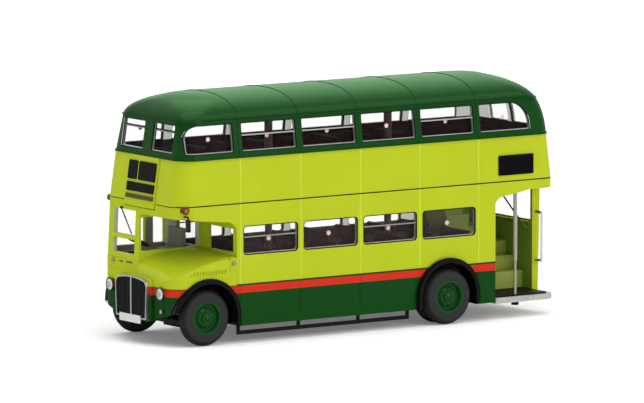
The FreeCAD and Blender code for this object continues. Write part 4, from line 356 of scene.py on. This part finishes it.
def bonnet_insides(g):
    """All that looks inwards, backwards or down, and the wheel arches, painted near black: painted
    shade.
    """
    outward = g.either(g.faces(g.outwards(g.ny, g.y), OUTWARD_SHARE),
                       g.faces(g.nx, OUTWARD_SHARE), g.faces(g.nz, OUTWARD_SHARE))
    arch = g.both(g.below(g.absolute(g.y), ARCH_Y), g.below(g.x, ARCH_FRONT_X),
                  g.below(g.z, ARCH_HIGH))
    return ((g.either(g.inverse(outward), arch), ARCH_SHADE),)


# Lamps, tyres, rails and plastics

def ringed(name, centre, lens_colour, rings, on_side=False, gloss=0.4):
    """A round lamp: its lens, and rings from each radius outwards.

    Its centre is (across, up), or (along, up) where the lamp is on the body's side.
    """
    g = Graph(name)
    a0, z0 = centre
    radius = g.length(g.past(g.x if on_side else g.absolute(g.y), a0), g.past(g.z, z0))
    colour = g.varied(lens_colour, size_mm=0.5, amount=0.15)
    for start, shade in rings:
        colour = g.mix(g.step(radius, start), colour, g.varied(shade, size_mm=0.5, amount=0.15))
    g.colour(colour)
    g.rough(low=0.1, high=0.2, size_mm=0.5)
    g.bump(g.noise(size_mm=0.35, detail=2.0), strength=0.25, distance_mm=0.04)
    return g.set(Specular_IOR_Level=gloss, Coat_Weight=0.3, Coat_Roughness=0.05)


TREAD_RADIUS, TREAD_RIBS, RIB_SHARE = 5.75, 70.0, 0.7
TYRE_BLACK, TREAD_BLACK = (0.026, 0.026, 0.028), (0.008, 0.008, 0.008)


def tyre():
    """Matt rubber with ribs across the tread, which starts near the outer radius."""
    g = Graph("tyre_rubber")
    middle, half_base = (FRONT_AXLE_X + REAR_AXLE_X) / 2, (FRONT_AXLE_X - REAR_AXLE_X) / 2
    x = g.past(g.absolute(g.past(g.x, middle)), half_base)
    z = g.past(g.z, WHEEL_Z)
    ribs = g.math("SINE", g.math("MULTIPLY", g.math("ARCTAN2", z, x), TREAD_RIBS))
    tread = g.step(g.length(x, z), TREAD_RADIUS, soft=0.15)
    g.colour(g.mix(g.both(tread, g.step(ribs, 0.0, soft=0.3, unit=1.0)), g.varied(TYRE_BLACK),
                   TREAD_BLACK))
    g.rough(low=0.5, high=0.7)
    raised = g.math("MULTIPLY", g.both(tread, ribs), RIB_SHARE)
    g.bump(g.math("ADD", raised, g.noise(size_mm=0.3, detail=4.0)), strength=0.5, distance_mm=0.12)
    return g.set(Specular_IOR_Level=0.2)


def two_tone(name, mask, inner, outer, rough):
    """A rod in one colour, and in another where a mask is 1."""
    g = Graph(name)
    g.colour(g.mix(mask(g), g.varied(inner), g.varied(outer)))
    g.rough(*rough, size_mm=0.8)
    g.bump(g.noise(size_mm=0.3, detail=5.0), strength=0.12, distance_mm=0.03)
    return g.set(Specular_IOR_Level=0.5)


HUB_START_Y = 13.4
GRAB_ARMS_Y, GRAB_LOW_ARM_Z, GRAB_HIGH_ARM_Z = 11.15, 12.62, 23.68
REAR_SILL_Z = 21.8
RAIL_GREEN, RAIL_BLACK = (0.12, 0.19, 0.03), (0.012, 0.014, 0.01)


def in_hub(g):
    """The ends of an axle, which are painted with the wheels."""
    return g.step(g.absolute(g.y), HUB_START_Y)


def on_arms(g):
    """The grab rail's arms, which are dark."""
    return g.both(g.either(g.below(g.z, GRAB_LOW_ARM_Z), g.step(g.z, GRAB_HIGH_ARM_Z)),
                  g.below(g.y, GRAB_ARMS_Y))


def stair_rail():
    """Black above the rear window's sill, and near the wall's colour below it."""
    g = Graph("stair_rail")
    g.colour(g.mix(g.step(g.z, REAR_SILL_Z), g.varied(RAIL_GREEN), g.varied(RAIL_BLACK)))
    g.rough(low=0.4, high=0.6)
    g.bump(g.noise(size_mm=0.35, detail=4.0), strength=0.15, distance_mm=0.04)
    return g.set(Specular_IOR_Level=0.15)


MAT_RIB, MAT_BLACK = 0.55, (0.006, 0.007, 0.003)
SPECK_DARK, SPECK_PALE = (0.36, 0.36, 0.34), (0.52, 0.52, 0.50)


def ribbed_mat():
    """Black rubber with ribs across the platform."""
    g = Graph("mat_black")
    ribs = g.math("SINE", g.math("MULTIPLY", g.x, 2 * math.pi / (MAT_RIB * MM)))
    g.colour(g.varied(MAT_BLACK, amount=0.2))
    g.rough(low=0.5, high=0.7)
    g.bump(ribs, strength=0.5, distance_mm=0.1)
    return g.set(Specular_IOR_Level=0.2)


def speckled():
    """The platform's cast edge, with light and dark grey specks."""
    g = Graph("platform_edge")
    specks = g.step(g.noise(size_mm=0.45, detail=6.0, rough=0.8), edge=0.5, soft=0.06, unit=1.0)
    g.colour(g.mix(specks, SPECK_DARK, SPECK_PALE))
    g.rough(low=0.35, high=0.6, size_mm=0.5)
    g.bump(g.noise(size_mm=0.3, detail=6.0), strength=0.4, distance_mm=0.05)
    return g.set(Specular_IOR_Level=0.4)


def plastic(name, colour, rough=(0.35, 0.55), gloss=0.25, grain_mm=0.35, strength=0.15):
    """Moulded plastic or thick paint with a fine grain."""
    g = Graph(name)
    g.colour(g.varied(colour, size_mm=4.0, amount=0.12))
    g.rough(*rough)
    g.bump(g.noise(size_mm=grain_mm, detail=4.0), strength, distance_mm=0.04)
    return g.set(Specular_IOR_Level=gloss)


def metal(name, colour, rough):
    g = Graph(name)
    g.colour(g.varied(colour, amount=0.1))
    g.rough(*rough, size_mm=0.8)
    g.bump(g.noise(size_mm=0.3, detail=5.0), strength=0.12, distance_mm=0.03)
    return g.set(Metallic=1.0)


def clear(name, tint):
    """A clear moulding that lets nearly all light through."""
    g = Graph(name)
    g.colour(g.varied(tint, size_mm=5.0, amount=0.03))
    g.rough(low=0.03, high=0.08, size_mm=5.0)
    g.material.blend_method = "BLEND"
    return g.set(Alpha=0.06, Specular_IOR_Level=0.5)


def lens(name, colour):
    g = Graph(name)
    g.colour(g.varied(colour, size_mm=0.6, amount=0.1))
    g.rough(low=0.12, high=0.22, size_mm=0.6)
    g.bump(g.noise(size_mm=0.4, detail=2.0), strength=0.2, distance_mm=0.04)
    return g.set(Coat_Weight=0.8, Coat_Roughness=0.05)


HEADLAMP, FOG_LAMP, INDICATOR = (10.7, 12.4), (11.1, 8.3), (50.0, 32.0)
BONNET_LINE = STRIPE_HIGH + 0.22
BELT_LINE = BELT + 0.12

MAT = {
    "lower_paint": paint(
        "lower_livery", GREEN, [(STRIPE_LOW, RED), (STRIPE_HIGH, GREEN), (STRIPE_LINE, LIME)],
        lower_insides, lower_pillars),
    "bonnet_paint": paint(
        "bonnet_livery", GREEN, [(STRIPE_LOW, RED), (STRIPE_HIGH, GREEN), (BONNET_LINE, LIME)],
        bonnet_insides),
    "upper_paint": paint(
        "upper_livery", LIME, [(BELT_LINE, GREEN)], upper_insides, upper_pillars),
    "wheel": paint("wheel_green", WHEEL_GREEN, gloss=0.5),
    "lime_plastic": plastic("stair_lime", (0.30, 0.37, 0.06)),
    "maroon": plastic("seat_maroon", (0.030, 0.013, 0.012), rough=(0.45, 0.65), gloss=0.02),
    "brown": plastic("seat_brown", (0.055, 0.036, 0.033), rough=(0.45, 0.65), gloss=0.02),
    "cab_grey": plastic("cab_grey_green", (0.38, 0.39, 0.33), rough=(0.45, 0.65), gloss=0.1),
    "black": plastic("base_black", (0.008, 0.008, 0.008), rough=(0.3, 0.5), gloss=0.18),
    "gloss_black": plastic("guard_black", (0.004, 0.004, 0.004), rough=(0.1, 0.16), gloss=0.18,
                           grain_mm=0.5, strength=0.04),
    "rubber": tyre(),
    "blind": plastic("blind_black", (0.004, 0.004, 0.004), rough=(0.15, 0.25), gloss=0.05,
                     grain_mm=0.5, strength=0.05),
    "vent": plastic("vent_olive", (0.075, 0.085, 0.006), rough=(0.4, 0.6), gloss=0.1),
    "white": plastic("plate_white", (0.75, 0.75, 0.74), rough=(0.3, 0.45)),
    "silver": metal("bright_silver", (0.72, 0.72, 0.72), rough=(0.25, 0.4)),
    "trim": metal("window_silver", (0.48, 0.49, 0.46), rough=(0.3, 0.45)),
    "edge": speckled(),
    "steel": two_tone("axle_steel", in_hub, (0.35, 0.35, 0.35), HUB_GREEN, rough=(0.2, 0.35)),
    "grab": two_tone("grab_rail", on_arms, (0.85, 0.85, 0.83), (0.03, 0.04, 0.012),
                     rough=(0.25, 0.4)),
    "stair_rail": stair_rail(),
    "post": plastic("post_paint", (0.20, 0.15, 0.13), rough=(0.4, 0.6)),
    "glass": clear("clear_moulding", (0.10, 0.062, 0.060)),
    "lower_glass": clear("clear_moulding_lower", (0.27, 0.20, 0.195)),
    "pip": plastic("gate_pip", (0.80, 0.55, 0.52), rough=(0.25, 0.4)),
    "orange": ringed("indicator_orange", INDICATOR, (0.42, 0.11, 0.012),
                     [(0.55, (0.08, 0.02, 0.006))], on_side=True, gloss=0.2),
    "red": lens("tail_red", (0.5, 0.012, 0.01)),
    # The headlamp's outer dark ring is a painted shadow round its bezel.
    "lamp": ringed("headlamp", HEADLAMP, (0.38, 0.46, 0.40),
                   [(0.8, (0.80, 0.80, 0.74)), (1.3, (0.015, 0.018, 0.015))]),
    "fog": ringed("fog_lamp", FOG_LAMP, (0.45, 0.5, 0.43), [(0.4, (0.012, 0.03, 0.014))]),
    "small_lamp": plastic("side_lamp", (0.3, 0.31, 0.24), rough=(0.15, 0.25), gloss=0.4),
    "mat": ribbed_mat(),
}


def pair(name):
    """The names of a nearside and an offside node."""
    return [name + "_nearside", name + "_offside"]


NODES_BY_MATERIAL = {
    "upper_paint": ["upper_body_casting"],
    "lower_paint": ["lower_body_casting"],
    "bonnet_paint": ["bonnet_and_wings_casting"],
    "silver": ["radiator_surround", "platform_pole"],
    "black": ["radiator_grille", "base_plate", "steering_wheel", "windscreen_wiper",
              "mirror_nearside", "platform_pole_rivet", *pair("guard_rail")],
    "gloss_black": pair("front_mudguard") + pair("rear_mudguard"),
    "post": ["fixing_post_front", "fixing_post_rear"],
    "steel": ["fixing_screw_front", "fixing_screw_rear", "front_axle", "rear_axle"],
    "brown": ["lower_saloon_seats"],
    "maroon": ["upper_saloon_seats"],
    "cab_grey": ["cab_seat_and_floor"],
    "glass": ["upper_deck_glazing", "rear_window_glass", "cab_glazing"],
    "lower_glass": ["lower_deck_glazing"],
    "lamp": pair("headlamp"),
    "small_lamp": pair("side_lamp"),
    "orange": pair("indicator"),
    "fog": ["fog_lamp"],
    "red": ["tail_lamp"],
    "white": ["front_number_plate", "rear_number_plate"],
    "blind": ["front_number_blind", "front_destination_blind", "front_route_blind",
              "rear_blind", *pair("side_blind")],
    "vent": ["front_vent"],
    "edge": ["rear_platform"],
    "mat": ["platform_mat"],
    "lime_plastic": ["staircase"],
    "stair_rail": ["stair_handrail"],
    "grab": ["rear_grab_rail"],
    "rubber": pair("front_tyre") + pair("rear_tyre"),
    "wheel": pair("front_wheel") + pair("rear_wheel"),
}
for material, names in NODES_BY_MATERIAL.items():
    for name in names:
        mesh = NODES[name].data
        mesh.materials.clear()
        mesh.materials.append(MAT[material])

# The moulding gates in the middle of the panes
GATE_REACH, GATE_STAND = 0.62, 0.02
FRONT_QUARTER_GATE_X, REAR_QUARTER_GATE_X = FIRST_PILLAR_X + 7.9, LAST_PILLAR_X - 8.0
BAY_GATES = [FIRST_PILLAR_X - (i + 0.5) * BAY for i in range(BAYS)]
LOWER_PANE_Y, UPPER_PANE_Y = 14.85, 14.3


def colour_gates(node, spots, level, pane_y):
    """The gates take their own pink slot, as the faces that stand off the pane."""
    mesh = NODES[node].data
    mesh.materials.append(MAT["pip"])
    for polygon in mesh.polygons:
        x, y, z = (c / MM for c in polygon.center)
        near = min(math.hypot(x - spot, z - level) for spot in spots)
        if near < GATE_REACH and abs(y) > pane_y + GATE_STAND:
            polygon.material_index = 1


colour_gates("lower_deck_glazing", BAY_GATES, (LOWER_SILL + LOWER_HEAD) / 2, LOWER_PANE_Y)
colour_gates("upper_deck_glazing", BAY_GATES + [FRONT_QUARTER_GATE_X, REAR_QUARTER_GATE_X],
             (UPPER_SILL + UPPER_HEAD) / 2, UPPER_PANE_Y)


# Shapes


def add_mesh(name, verts, faces, material, smooth=True, body=BODY):
    """A new piece from points in millimetres."""
    mesh = bpy.data.meshes.new(name)
    mesh.from_pydata([tuple(c * MM for c in v) for v in verts], [], faces)
    mesh.validate()
    work = bmesh.new()
    work.from_mesh(mesh)
    bmesh.ops.recalc_face_normals(work, faces=work.faces)
    work.to_mesh(mesh)
    work.free()
    for polygon in mesh.polygons:
        polygon.use_smooth = smooth
    mesh.materials.append(MAT[material])
    obj = bpy.data.objects.new(name, mesh)
    bpy.context.scene.collection.objects.link(obj)
    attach(obj, body)


def rounded_outline(box, radii, steps=7):
    """Points round a rounded rectangle. A box is (a0, a1, b0, b1).

    The radii run from (a0, b0) by (a1, b0) and (a1, b1).
    """
    a0, a1, b0, b1 = box
    # Each corner's point, the angle where its arc starts, and the way to its arc's centre
    corners = [(a0, b0, 180, 1, 1), (a1, b0, 270, -1, 1), (a1, b1, 0, -1, -1),
               (a0, b1, 90, 1, -1)]
    points = []
    for (a, b, start, sa, sb), radius in zip(corners, radii):
        ca, cb = a + sa * radius, b + sb * radius
        for i in range(steps + 1):
            turn = math.radians(start + 90.0 * i / steps)
            points.append((ca + radius * math.cos(turn), cb + radius * math.sin(turn)))
    return points


def divided(points, longest=1.2):
    """The same outline with its long straight runs divided, so that it can follow a curve."""
    out = []
    for i, (a, b) in enumerate(points):
        c, d = points[(i + 1) % len(points)]
        count = max(1, int(math.hypot(c - a, d - b) / longest))
        for k in range(count):
            out.append((a + (c - a) * k / count, b + (d - b) * k / count))
    return out


def inward(points, amount):
    """An outline moved inwards by an amount."""
    out = []
    n = len(points)
    for i in range(n):
        (ax, ay), (bx, by), (cx, cy) = points[i - 1], points[i], points[(i + 1) % n]
        tx, ty = cx - ax, cy - ay
        length = math.hypot(tx, ty) or 1.0
        out.append((bx - ty / length * amount, by + tx / length * amount))
    return out


RING_CHAMFER_SHARE = 0.3


def ring_piece(name, opening, place, section, material):
    """A frame that follows an outline. A place turns (along, level, out) into a point."""
    lap, width, back, front = section
    points = inward(opening, -lap)
    chamfer = min(width, front - back) * RING_CHAMFER_SHARE
    inner, lip_in = inward(points, width), inward(points, width - chamfer)
    lip_out = inward(points, chamfer)
    rows = [(points, back), (points, front - chamfer), (lip_out, front), (lip_in, front),
            (inner, front - chamfer), (inner, back)]
    verts, faces, n = [], [], len(points)
    for outline, h in rows:
        verts += [place(a, b, h) for a, b in outline]
    for r in range(len(rows)):
        s = (r + 1) % len(rows)
        for i in range(n):
            k = (i + 1) % n
            faces.append((r * n + i, r * n + k, s * n + k, s * n + i))
    add_mesh(name, verts, faces, material)


BAR_SHOULDER_SHARE, BAR_CROWN_SHARE = 0.6, 0.5


def bar_piece(name, span, level, place, section, material, steps=12):
    """A thin level bar across a window, its front edges rounded."""
    half, back, front = section
    shoulder, crown = front - half * BAR_SHOULDER_SHARE, half * BAR_CROWN_SHARE
    profile = [(-half, back), (-half, shoulder), (-crown, front),
               (crown, front), (half, shoulder), (half, back)]
    verts, faces, n = [], [], len(profile)
    start, end = span
    for i in range(steps + 1):
        a = start + (end - start) * i / steps
        verts += [place(a, level + rise, h) for rise, h in profile]
    for i in range(steps):
        for k in range(n):
            m = (k + 1) % n
            faces.append((i * n + k, i * n + m, (i + 1) * n + m, (i + 1) * n + k))
    faces.append(tuple(range(n)))
    faces.append(tuple(steps * n + k for k in reversed(range(n))))
    add_mesh(name, verts, faces, material, smooth=False)


# The castings' faces: each place turns (along or across, level, out) into a point

LOWER_SIDE_Y, LOWER_REAR_X, CAB_FRONT_X = 16.0, -54.9, 52.85
UPPER_SIDE_Y, SIDE_LEAN = 15.85, 1.25
UPPER_FRONT_X, FRONT_LEAN, FRONT_CORNER = 50.65, 1.35, 4.4
UPPER_REAR_X, REAR_SWEEP, SWEEP_POWER, REAR_CORNER = -53.75, 14.5, 2.3, 3.8
CORNER_MOST_SHARE = 0.97


def lean_share(z):
    return (z - BELT) / (GUTTER - BELT)


def upper_front(z):
    return UPPER_FRONT_X - FRONT_LEAN * lean_share(z)


def upper_rear(z):
    rise = (z - BELT) / (ROOF - BELT)
    return UPPER_REAR_X + REAR_SWEEP * (1 - (1 - rise ** SWEEP_POWER) ** (1 / SWEEP_POWER))


def lower_side(sign):
    def place(x, z, h):
        return (x, sign * (LOWER_SIDE_Y + h), z)
    return place


def upper_side(sign):
    """The upper deck's side leans inwards, and turns round a corner at each end."""
    def place(x, z, h):
        half = UPPER_SIDE_Y - SIDE_LEAN * lean_share(z)
        for end, radius, ahead in ((upper_front(z), FRONT_CORNER, 1),
                                   (upper_rear(z), REAR_CORNER, -1)):
            past = (x - (end - ahead * radius)) * ahead
            if past > 0:
                share = min(past / radius, CORNER_MOST_SHARE)
                flat = math.sqrt(1 - share * share)
                drop = radius - radius * flat
                return (x + ahead * share * h, sign * (half - drop + flat * h), z)
        return (x, sign * (half + h), z)
    return place


def upper_front_face(y, z, h):
    return (upper_front(z) + h, y, z)


def upper_rear_face(y, z, h):
    return (upper_rear(z) - h, y, z)


def lower_rear_face(y, z, h):
    return (LOWER_REAR_X - h, y, z)


def cab_front_face(y, z, h):
    return (CAB_FRONT_X + h, y, z)


# Trim round the windows

# Each ring's lap over the casting, its width, and its back and front out from the surface
# The sunk ring is a dark lining for the shade in the window's reveal: painted shade.
SUNK_SHADE_LINING = (0.0, 0.2, -0.7, -0.06)
PROUD_GASKET = (0.08, 0.26, -0.7, 0.05)
WINDOW_FRAME = (0.0, 0.24, -0.75, -0.3)
# A frame is inset at its foot and its ends, and its top is hidden over the window's head
FRAME_INSET, FRAME_TOP_RISE = 0.12, 0.2

# Each bar's half height, and its back and front out from the surface
LOWER_BAR = (0.15, -0.75, -0.2)
UPPER_BAR = (0.16, -0.75, -0.2)
UPPER_TRACK = (0.13, -0.75, -0.35)
FRONT_BAR = (0.13, -0.8, -0.35)
CAB_HANDLE = (0.17, -0.2, 0.14)
BAR_GAP = 0.2

PILLAR_HALF = 0.8
TIGHT_CORNERS, ROUND_CORNERS = [0.45] * 4, [0.9] * 4
LOWER_VENTS, LOWER_BAR_Z = (0, 2), 24.7
UPPER_VENTS, UPPER_BAR_Z, UPPER_TRACK_Z = (0, 1, 3), 48.4, 48.7
FRONT_QUARTER_NEAR, FRONT_QUARTER_FAR, REAR_QUARTER_LENGTH = 1.45, 14.4, 14.4
FRONT_QUARTER_CORNERS, REAR_QUARTER_CORNERS = [0.45, 0.45, 3.4, 0.45], [0.45, 0.45, 0.45, 5.4]
FRONT_WINDOW_Y, FRONT_BAR_Z, FRONT_TRACK_Z = (1.75, 10.8), 49.45, 49.75
UPPER_REAR_WINDOW_Y = (0.6, 8.4)
LOWER_REAR_WINDOW = (-9.6, 8.3, 21.4, 30.4)


def window(name, box, radii, place, dark_ring=SUNK_SHADE_LINING):
    """A dark ring round the opening, and a thin silver frame set back inside it. A proud ring is a
    rubber gasket; a sunk ring is a dark lining in the reveal: painted shade.
    """
    a0, a1, b0, b1 = box
    ring_piece(name + "_gasket", divided(rounded_outline(box, radii)), place, dark_ring, "black")
    shown = (a0 + FRAME_INSET, a1 - FRAME_INSET, b0 + FRAME_INSET, b1 + FRAME_TOP_RISE)
    ring_piece(name + "_frame", divided(rounded_outline(shown, radii)), place, WINDOW_FRAME,
               "trim")


def side_windows(side, sign):
    lower, upper = lower_side(sign), upper_side(sign)
    for i in range(BAYS):
        front = FIRST_PILLAR_X - i * BAY - PILLAR_HALF
        rear = FIRST_PILLAR_X - (i + 1) * BAY + PILLAR_HALF
        span = (rear + BAR_GAP, front - BAR_GAP)
        label = "{}_{}".format(side, i + 1)
        window("lower_window_" + label, (rear, front, LOWER_SILL, LOWER_HEAD), ROUND_CORNERS,
               lower, PROUD_GASKET)
        window("upper_window_" + label, (rear, front, UPPER_SILL, UPPER_HEAD), TIGHT_CORNERS,
               upper)
        if i in LOWER_VENTS:
            bar_piece("lower_vent_bar_" + label, span, LOWER_BAR_Z, lower, LOWER_BAR, "silver")
        if i in UPPER_VENTS:
            bar_piece("upper_vent_bar_" + label, span, UPPER_BAR_Z, upper, UPPER_BAR, "silver")
            bar_piece("upper_vent_track_" + label, span, UPPER_TRACK_Z, upper, UPPER_TRACK,
                      "black")
    front_quarter = (FIRST_PILLAR_X + FRONT_QUARTER_NEAR, FIRST_PILLAR_X + FRONT_QUARTER_FAR)
    last = LAST_PILLAR_X - PILLAR_HALF
    rear_quarter = (last - REAR_QUARTER_LENGTH, last)
    window("upper_quarter_front_" + side, (*front_quarter, UPPER_SILL, UPPER_HEAD),
           FRONT_QUARTER_CORNERS, upper)
    window("upper_quarter_rear_" + side, (*rear_quarter, UPPER_SILL, UPPER_HEAD),
           REAR_QUARTER_CORNERS, upper)


def end_windows():
    for side, sign in SIDES:
        near, far = sorted(sign * y for y in FRONT_WINDOW_Y)
        window("upper_front_window_" + side, (near, far, UPPER_SILL, UPPER_HEAD), TIGHT_CORNERS,
               upper_front_face)
        for kind, level, material in (("bar", FRONT_BAR_Z, "trim"),
                                      ("track", FRONT_TRACK_Z, "black")):
            bar_piece("upper_front_{}_{}".format(kind, side), (near + BAR_GAP, far - BAR_GAP),
                      level, upper_front_face, FRONT_BAR, material)
        near, far = sorted(sign * y for y in UPPER_REAR_WINDOW_Y)
        window("upper_rear_window_" + side, (near, far, UPPER_SILL, UPPER_HEAD), ROUND_CORNERS,
               upper_rear_face)
    window("rear_window", LOWER_REAR_WINDOW, ROUND_CORNERS, lower_rear_face, PROUD_GASKET)


# Plugs in the hubs: (radius, out from the wheel)
HUB = [(0.76, 0.0), (0.76, 0.95), (0.7, 1.06), (0.6, 1.06), (0.52, 1.18), (0.34, 1.26),
       (0.08, 1.28)]
HUB_PLACES = (("front", FRONT_AXLE_X, 14.55), ("rear", REAR_AXLE_X, 15.6))


def lathe(name, profile, centre, sign, material, body, steps=32):
    """A round piece on a wheel: a profile turned about the axle."""
    x0, y0, z0 = centre
    verts, faces, n = [], [], len(profile)
    for i in range(steps):
        turn = 2 * math.pi * i / steps
        verts += [(x0 + r * math.cos(turn), y0 + sign * h, z0 + r * math.sin(turn))
                  for r, h in profile]
    for i in range(steps):
        k = (i + 1) % steps
        faces += [(i * n + j, i * n + j + 1, k * n + j + 1, k * n + j) for j in range(n - 1)]
    faces.append(tuple(i * n for i in range(steps)))
    faces.append(tuple(i * n + n - 1 for i in reversed(range(steps))))
    add_mesh(name, verts, faces, material, body=body)


def hub_caps():
    for end, x, y in HUB_PLACES:
        for side, sign in SIDES:
            lathe("hub_cap_{}_{}".format(end, side), HUB, (x, sign * y, WHEEL_Z), sign,
                  "wheel", end + "_axle_set")


HANDLE_SPANS, HANDLE_Z, HANDLE_RISE = ((-7.7, -6.2), (-4.8, -2.3)), 18.15, 0.1


def cab_handles():
    """The small handles on the cab's front under the windscreen, the inner one a little higher."""
    for i, span in enumerate(HANDLE_SPANS):
        bar_piece("cab_handle_{}".format(i + 1), span, HANDLE_Z + HANDLE_RISE * i,
                  cab_front_face, CAB_HANDLE, "vent", steps=4)


for side, sign in SIDES:
    side_windows(side, sign)
end_windows()
hub_caps()
cab_handles()


# Studio

WHITE = (1.0, 1.0, 1.0, 1.0)
FLOOR_REACH_M = 6
FLOOR_PALE = (0.95, 0.95, 0.95)
FLOOR_MIRRORED = (0.42, 0.42, 0.42)
FLOOR_GLOW = 0.15


def floor():
    """Pale to the camera, and darker where shiny paint mirrors it."""
    r = FLOOR_REACH_M
    mesh = bpy.data.meshes.new("floor")
    mesh.from_pydata([(-r, -r, 0), (r, -r, 0), (r, r, 0), (-r, r, 0)], [], [(0, 1, 2, 3)])
    g = Graph("floor_pale")
    g.rough(low=0.7, high=0.8, size_mm=200.0)
    seen = g.node("ShaderNodeLightPath").outputs
    pale = g.varied(FLOOR_PALE, size_mm=300.0, amount=0.01)
    g.colour(g.mix(seen["Is Glossy Ray"], pale, FLOOR_MIRRORED))
    shown = g.math("MAXIMUM", seen["Is Camera Ray"], seen["Is Transmission Ray"])
    g.glow(g.math("MULTIPLY", shown, FLOOR_GLOW), (1, 1, 1))
    mesh.materials.append(g.set(Specular_IOR_Level=0.0))
    obj = bpy.data.objects.new("floor", mesh)
    bpy.context.scene.collection.objects.link(obj)


WORLD_LIGHT, WORLD_SEEN = 0.60, 1.0
MIRRORED_GREY = (0.8, 0.8, 0.8, 1.0)
BRIGHT_WALL = (-0.5, -0.74, 0.45)
MIRRORED_RANGE = {"From Min": -0.2, "From Max": 0.8, "To Min": 0.3, "To Max": 2.0}


def world():
    """White to the camera and an even light, with a bright wall and a dim room for reflections."""
    studio = bpy.data.worlds.new("studio")
    bpy.context.scene.world = studio
    studio.use_nodes = True
    tree = studio.node_tree
    tree.nodes.clear()
    rays = tree.nodes.new("ShaderNodeLightPath").outputs

    def background(colour, strength):
        made = tree.nodes.new("ShaderNodeBackground")
        made.inputs["Color"].default_value = colour
        made.inputs["Strength"].default_value = strength
        return made

    def for_rays(kind, shown, otherwise):
        mix = tree.nodes.new("ShaderNodeMixShader")
        for output, socket in zip((rays[kind], otherwise.outputs[0], shown.outputs[0]),
                                  mix.inputs):
            tree.links.new(output, socket)
        return mix

    towards = tree.nodes.new("ShaderNodeVectorMath")
    towards.operation = "DOT_PRODUCT"
    direction = tree.nodes.new("ShaderNodeTexCoord").outputs["Generated"]
    tree.links.new(direction, towards.inputs[0])
    towards.inputs[1].default_value = BRIGHT_WALL
    strength = tree.nodes.new("ShaderNodeMapRange")
    tree.links.new(towards.outputs["Value"], strength.inputs["Value"])
    for socket, value in MIRRORED_RANGE.items():
        strength.inputs[socket].default_value = value
    mirrored = background(MIRRORED_GREY, 1.0)
    tree.links.new(strength.outputs[0], mirrored.inputs["Strength"])
    lit = for_rays("Is Glossy Ray", mirrored, background(WHITE, WORLD_LIGHT))
    seen = for_rays("Is Camera Ray", background(WHITE, WORLD_SEEN), lit)
    out = tree.nodes.new("ShaderNodeOutputWorld")
    tree.links.new(seen.outputs[0], out.inputs["Surface"])


# Each lamp's direction from the model, its strength, and its spread in degrees
SUNS = {"overhead": ((0.1, 0.05, 1.0), 1.4, 60), "key": ((-0.35, 0.8, 0.5), 0.9, 50)}


def soft_suns():
    for name, (towards, strength, spread) in SUNS.items():
        data = bpy.data.lights.new(name, "SUN")
        data.energy = strength
        data.angle = math.radians(spread)
        lamp = bpy.data.objects.new(name, data)
        lamp.rotation_euler = Vector(towards).to_track_quat("Z", "Y").to_euler()
        bpy.context.scene.collection.objects.link(lamp)


# The camera as solved from the photo
CAMERA_AZIMUTH, CAMERA_ELEVATION, CAMERA_DISTANCE = 145.903, 7.067, 2005.8
CAMERA_TARGET = (1.334, 0.0, 29.197)
SENSOR_MM, FOCAL_PIXELS, PHOTO_WIDTH = 36.0, 8546.0, 644.0
CLIP_START_M, CLIP_END_M = 0.05, 20.0


def camera():
    azimuth, elevation = math.radians(CAMERA_AZIMUTH), math.radians(CAMERA_ELEVATION)
    back = Vector((math.sin(azimuth) * math.cos(elevation),
                   -math.cos(azimuth) * math.cos(elevation), math.sin(elevation)))
    data = bpy.data.cameras.new("camera")
    data.sensor_width = SENSOR_MM
    data.lens = SENSOR_MM * FOCAL_PIXELS / PHOTO_WIDTH
    data.clip_start = CLIP_START_M
    data.clip_end = CLIP_END_M
    obj = bpy.data.objects.new("camera", data)
    target = Vector(CAMERA_TARGET) * MM
    obj.location = target + back * CAMERA_DISTANCE * MM
    obj.rotation_euler = (-back).to_track_quat("-Z", "Y").to_euler()
    bpy.context.scene.collection.objects.link(obj)
    bpy.context.scene.camera = obj
    bpy.context.scene.view_settings.view_transform = "Standard"


floor()
world()
soft_suns()
camera()
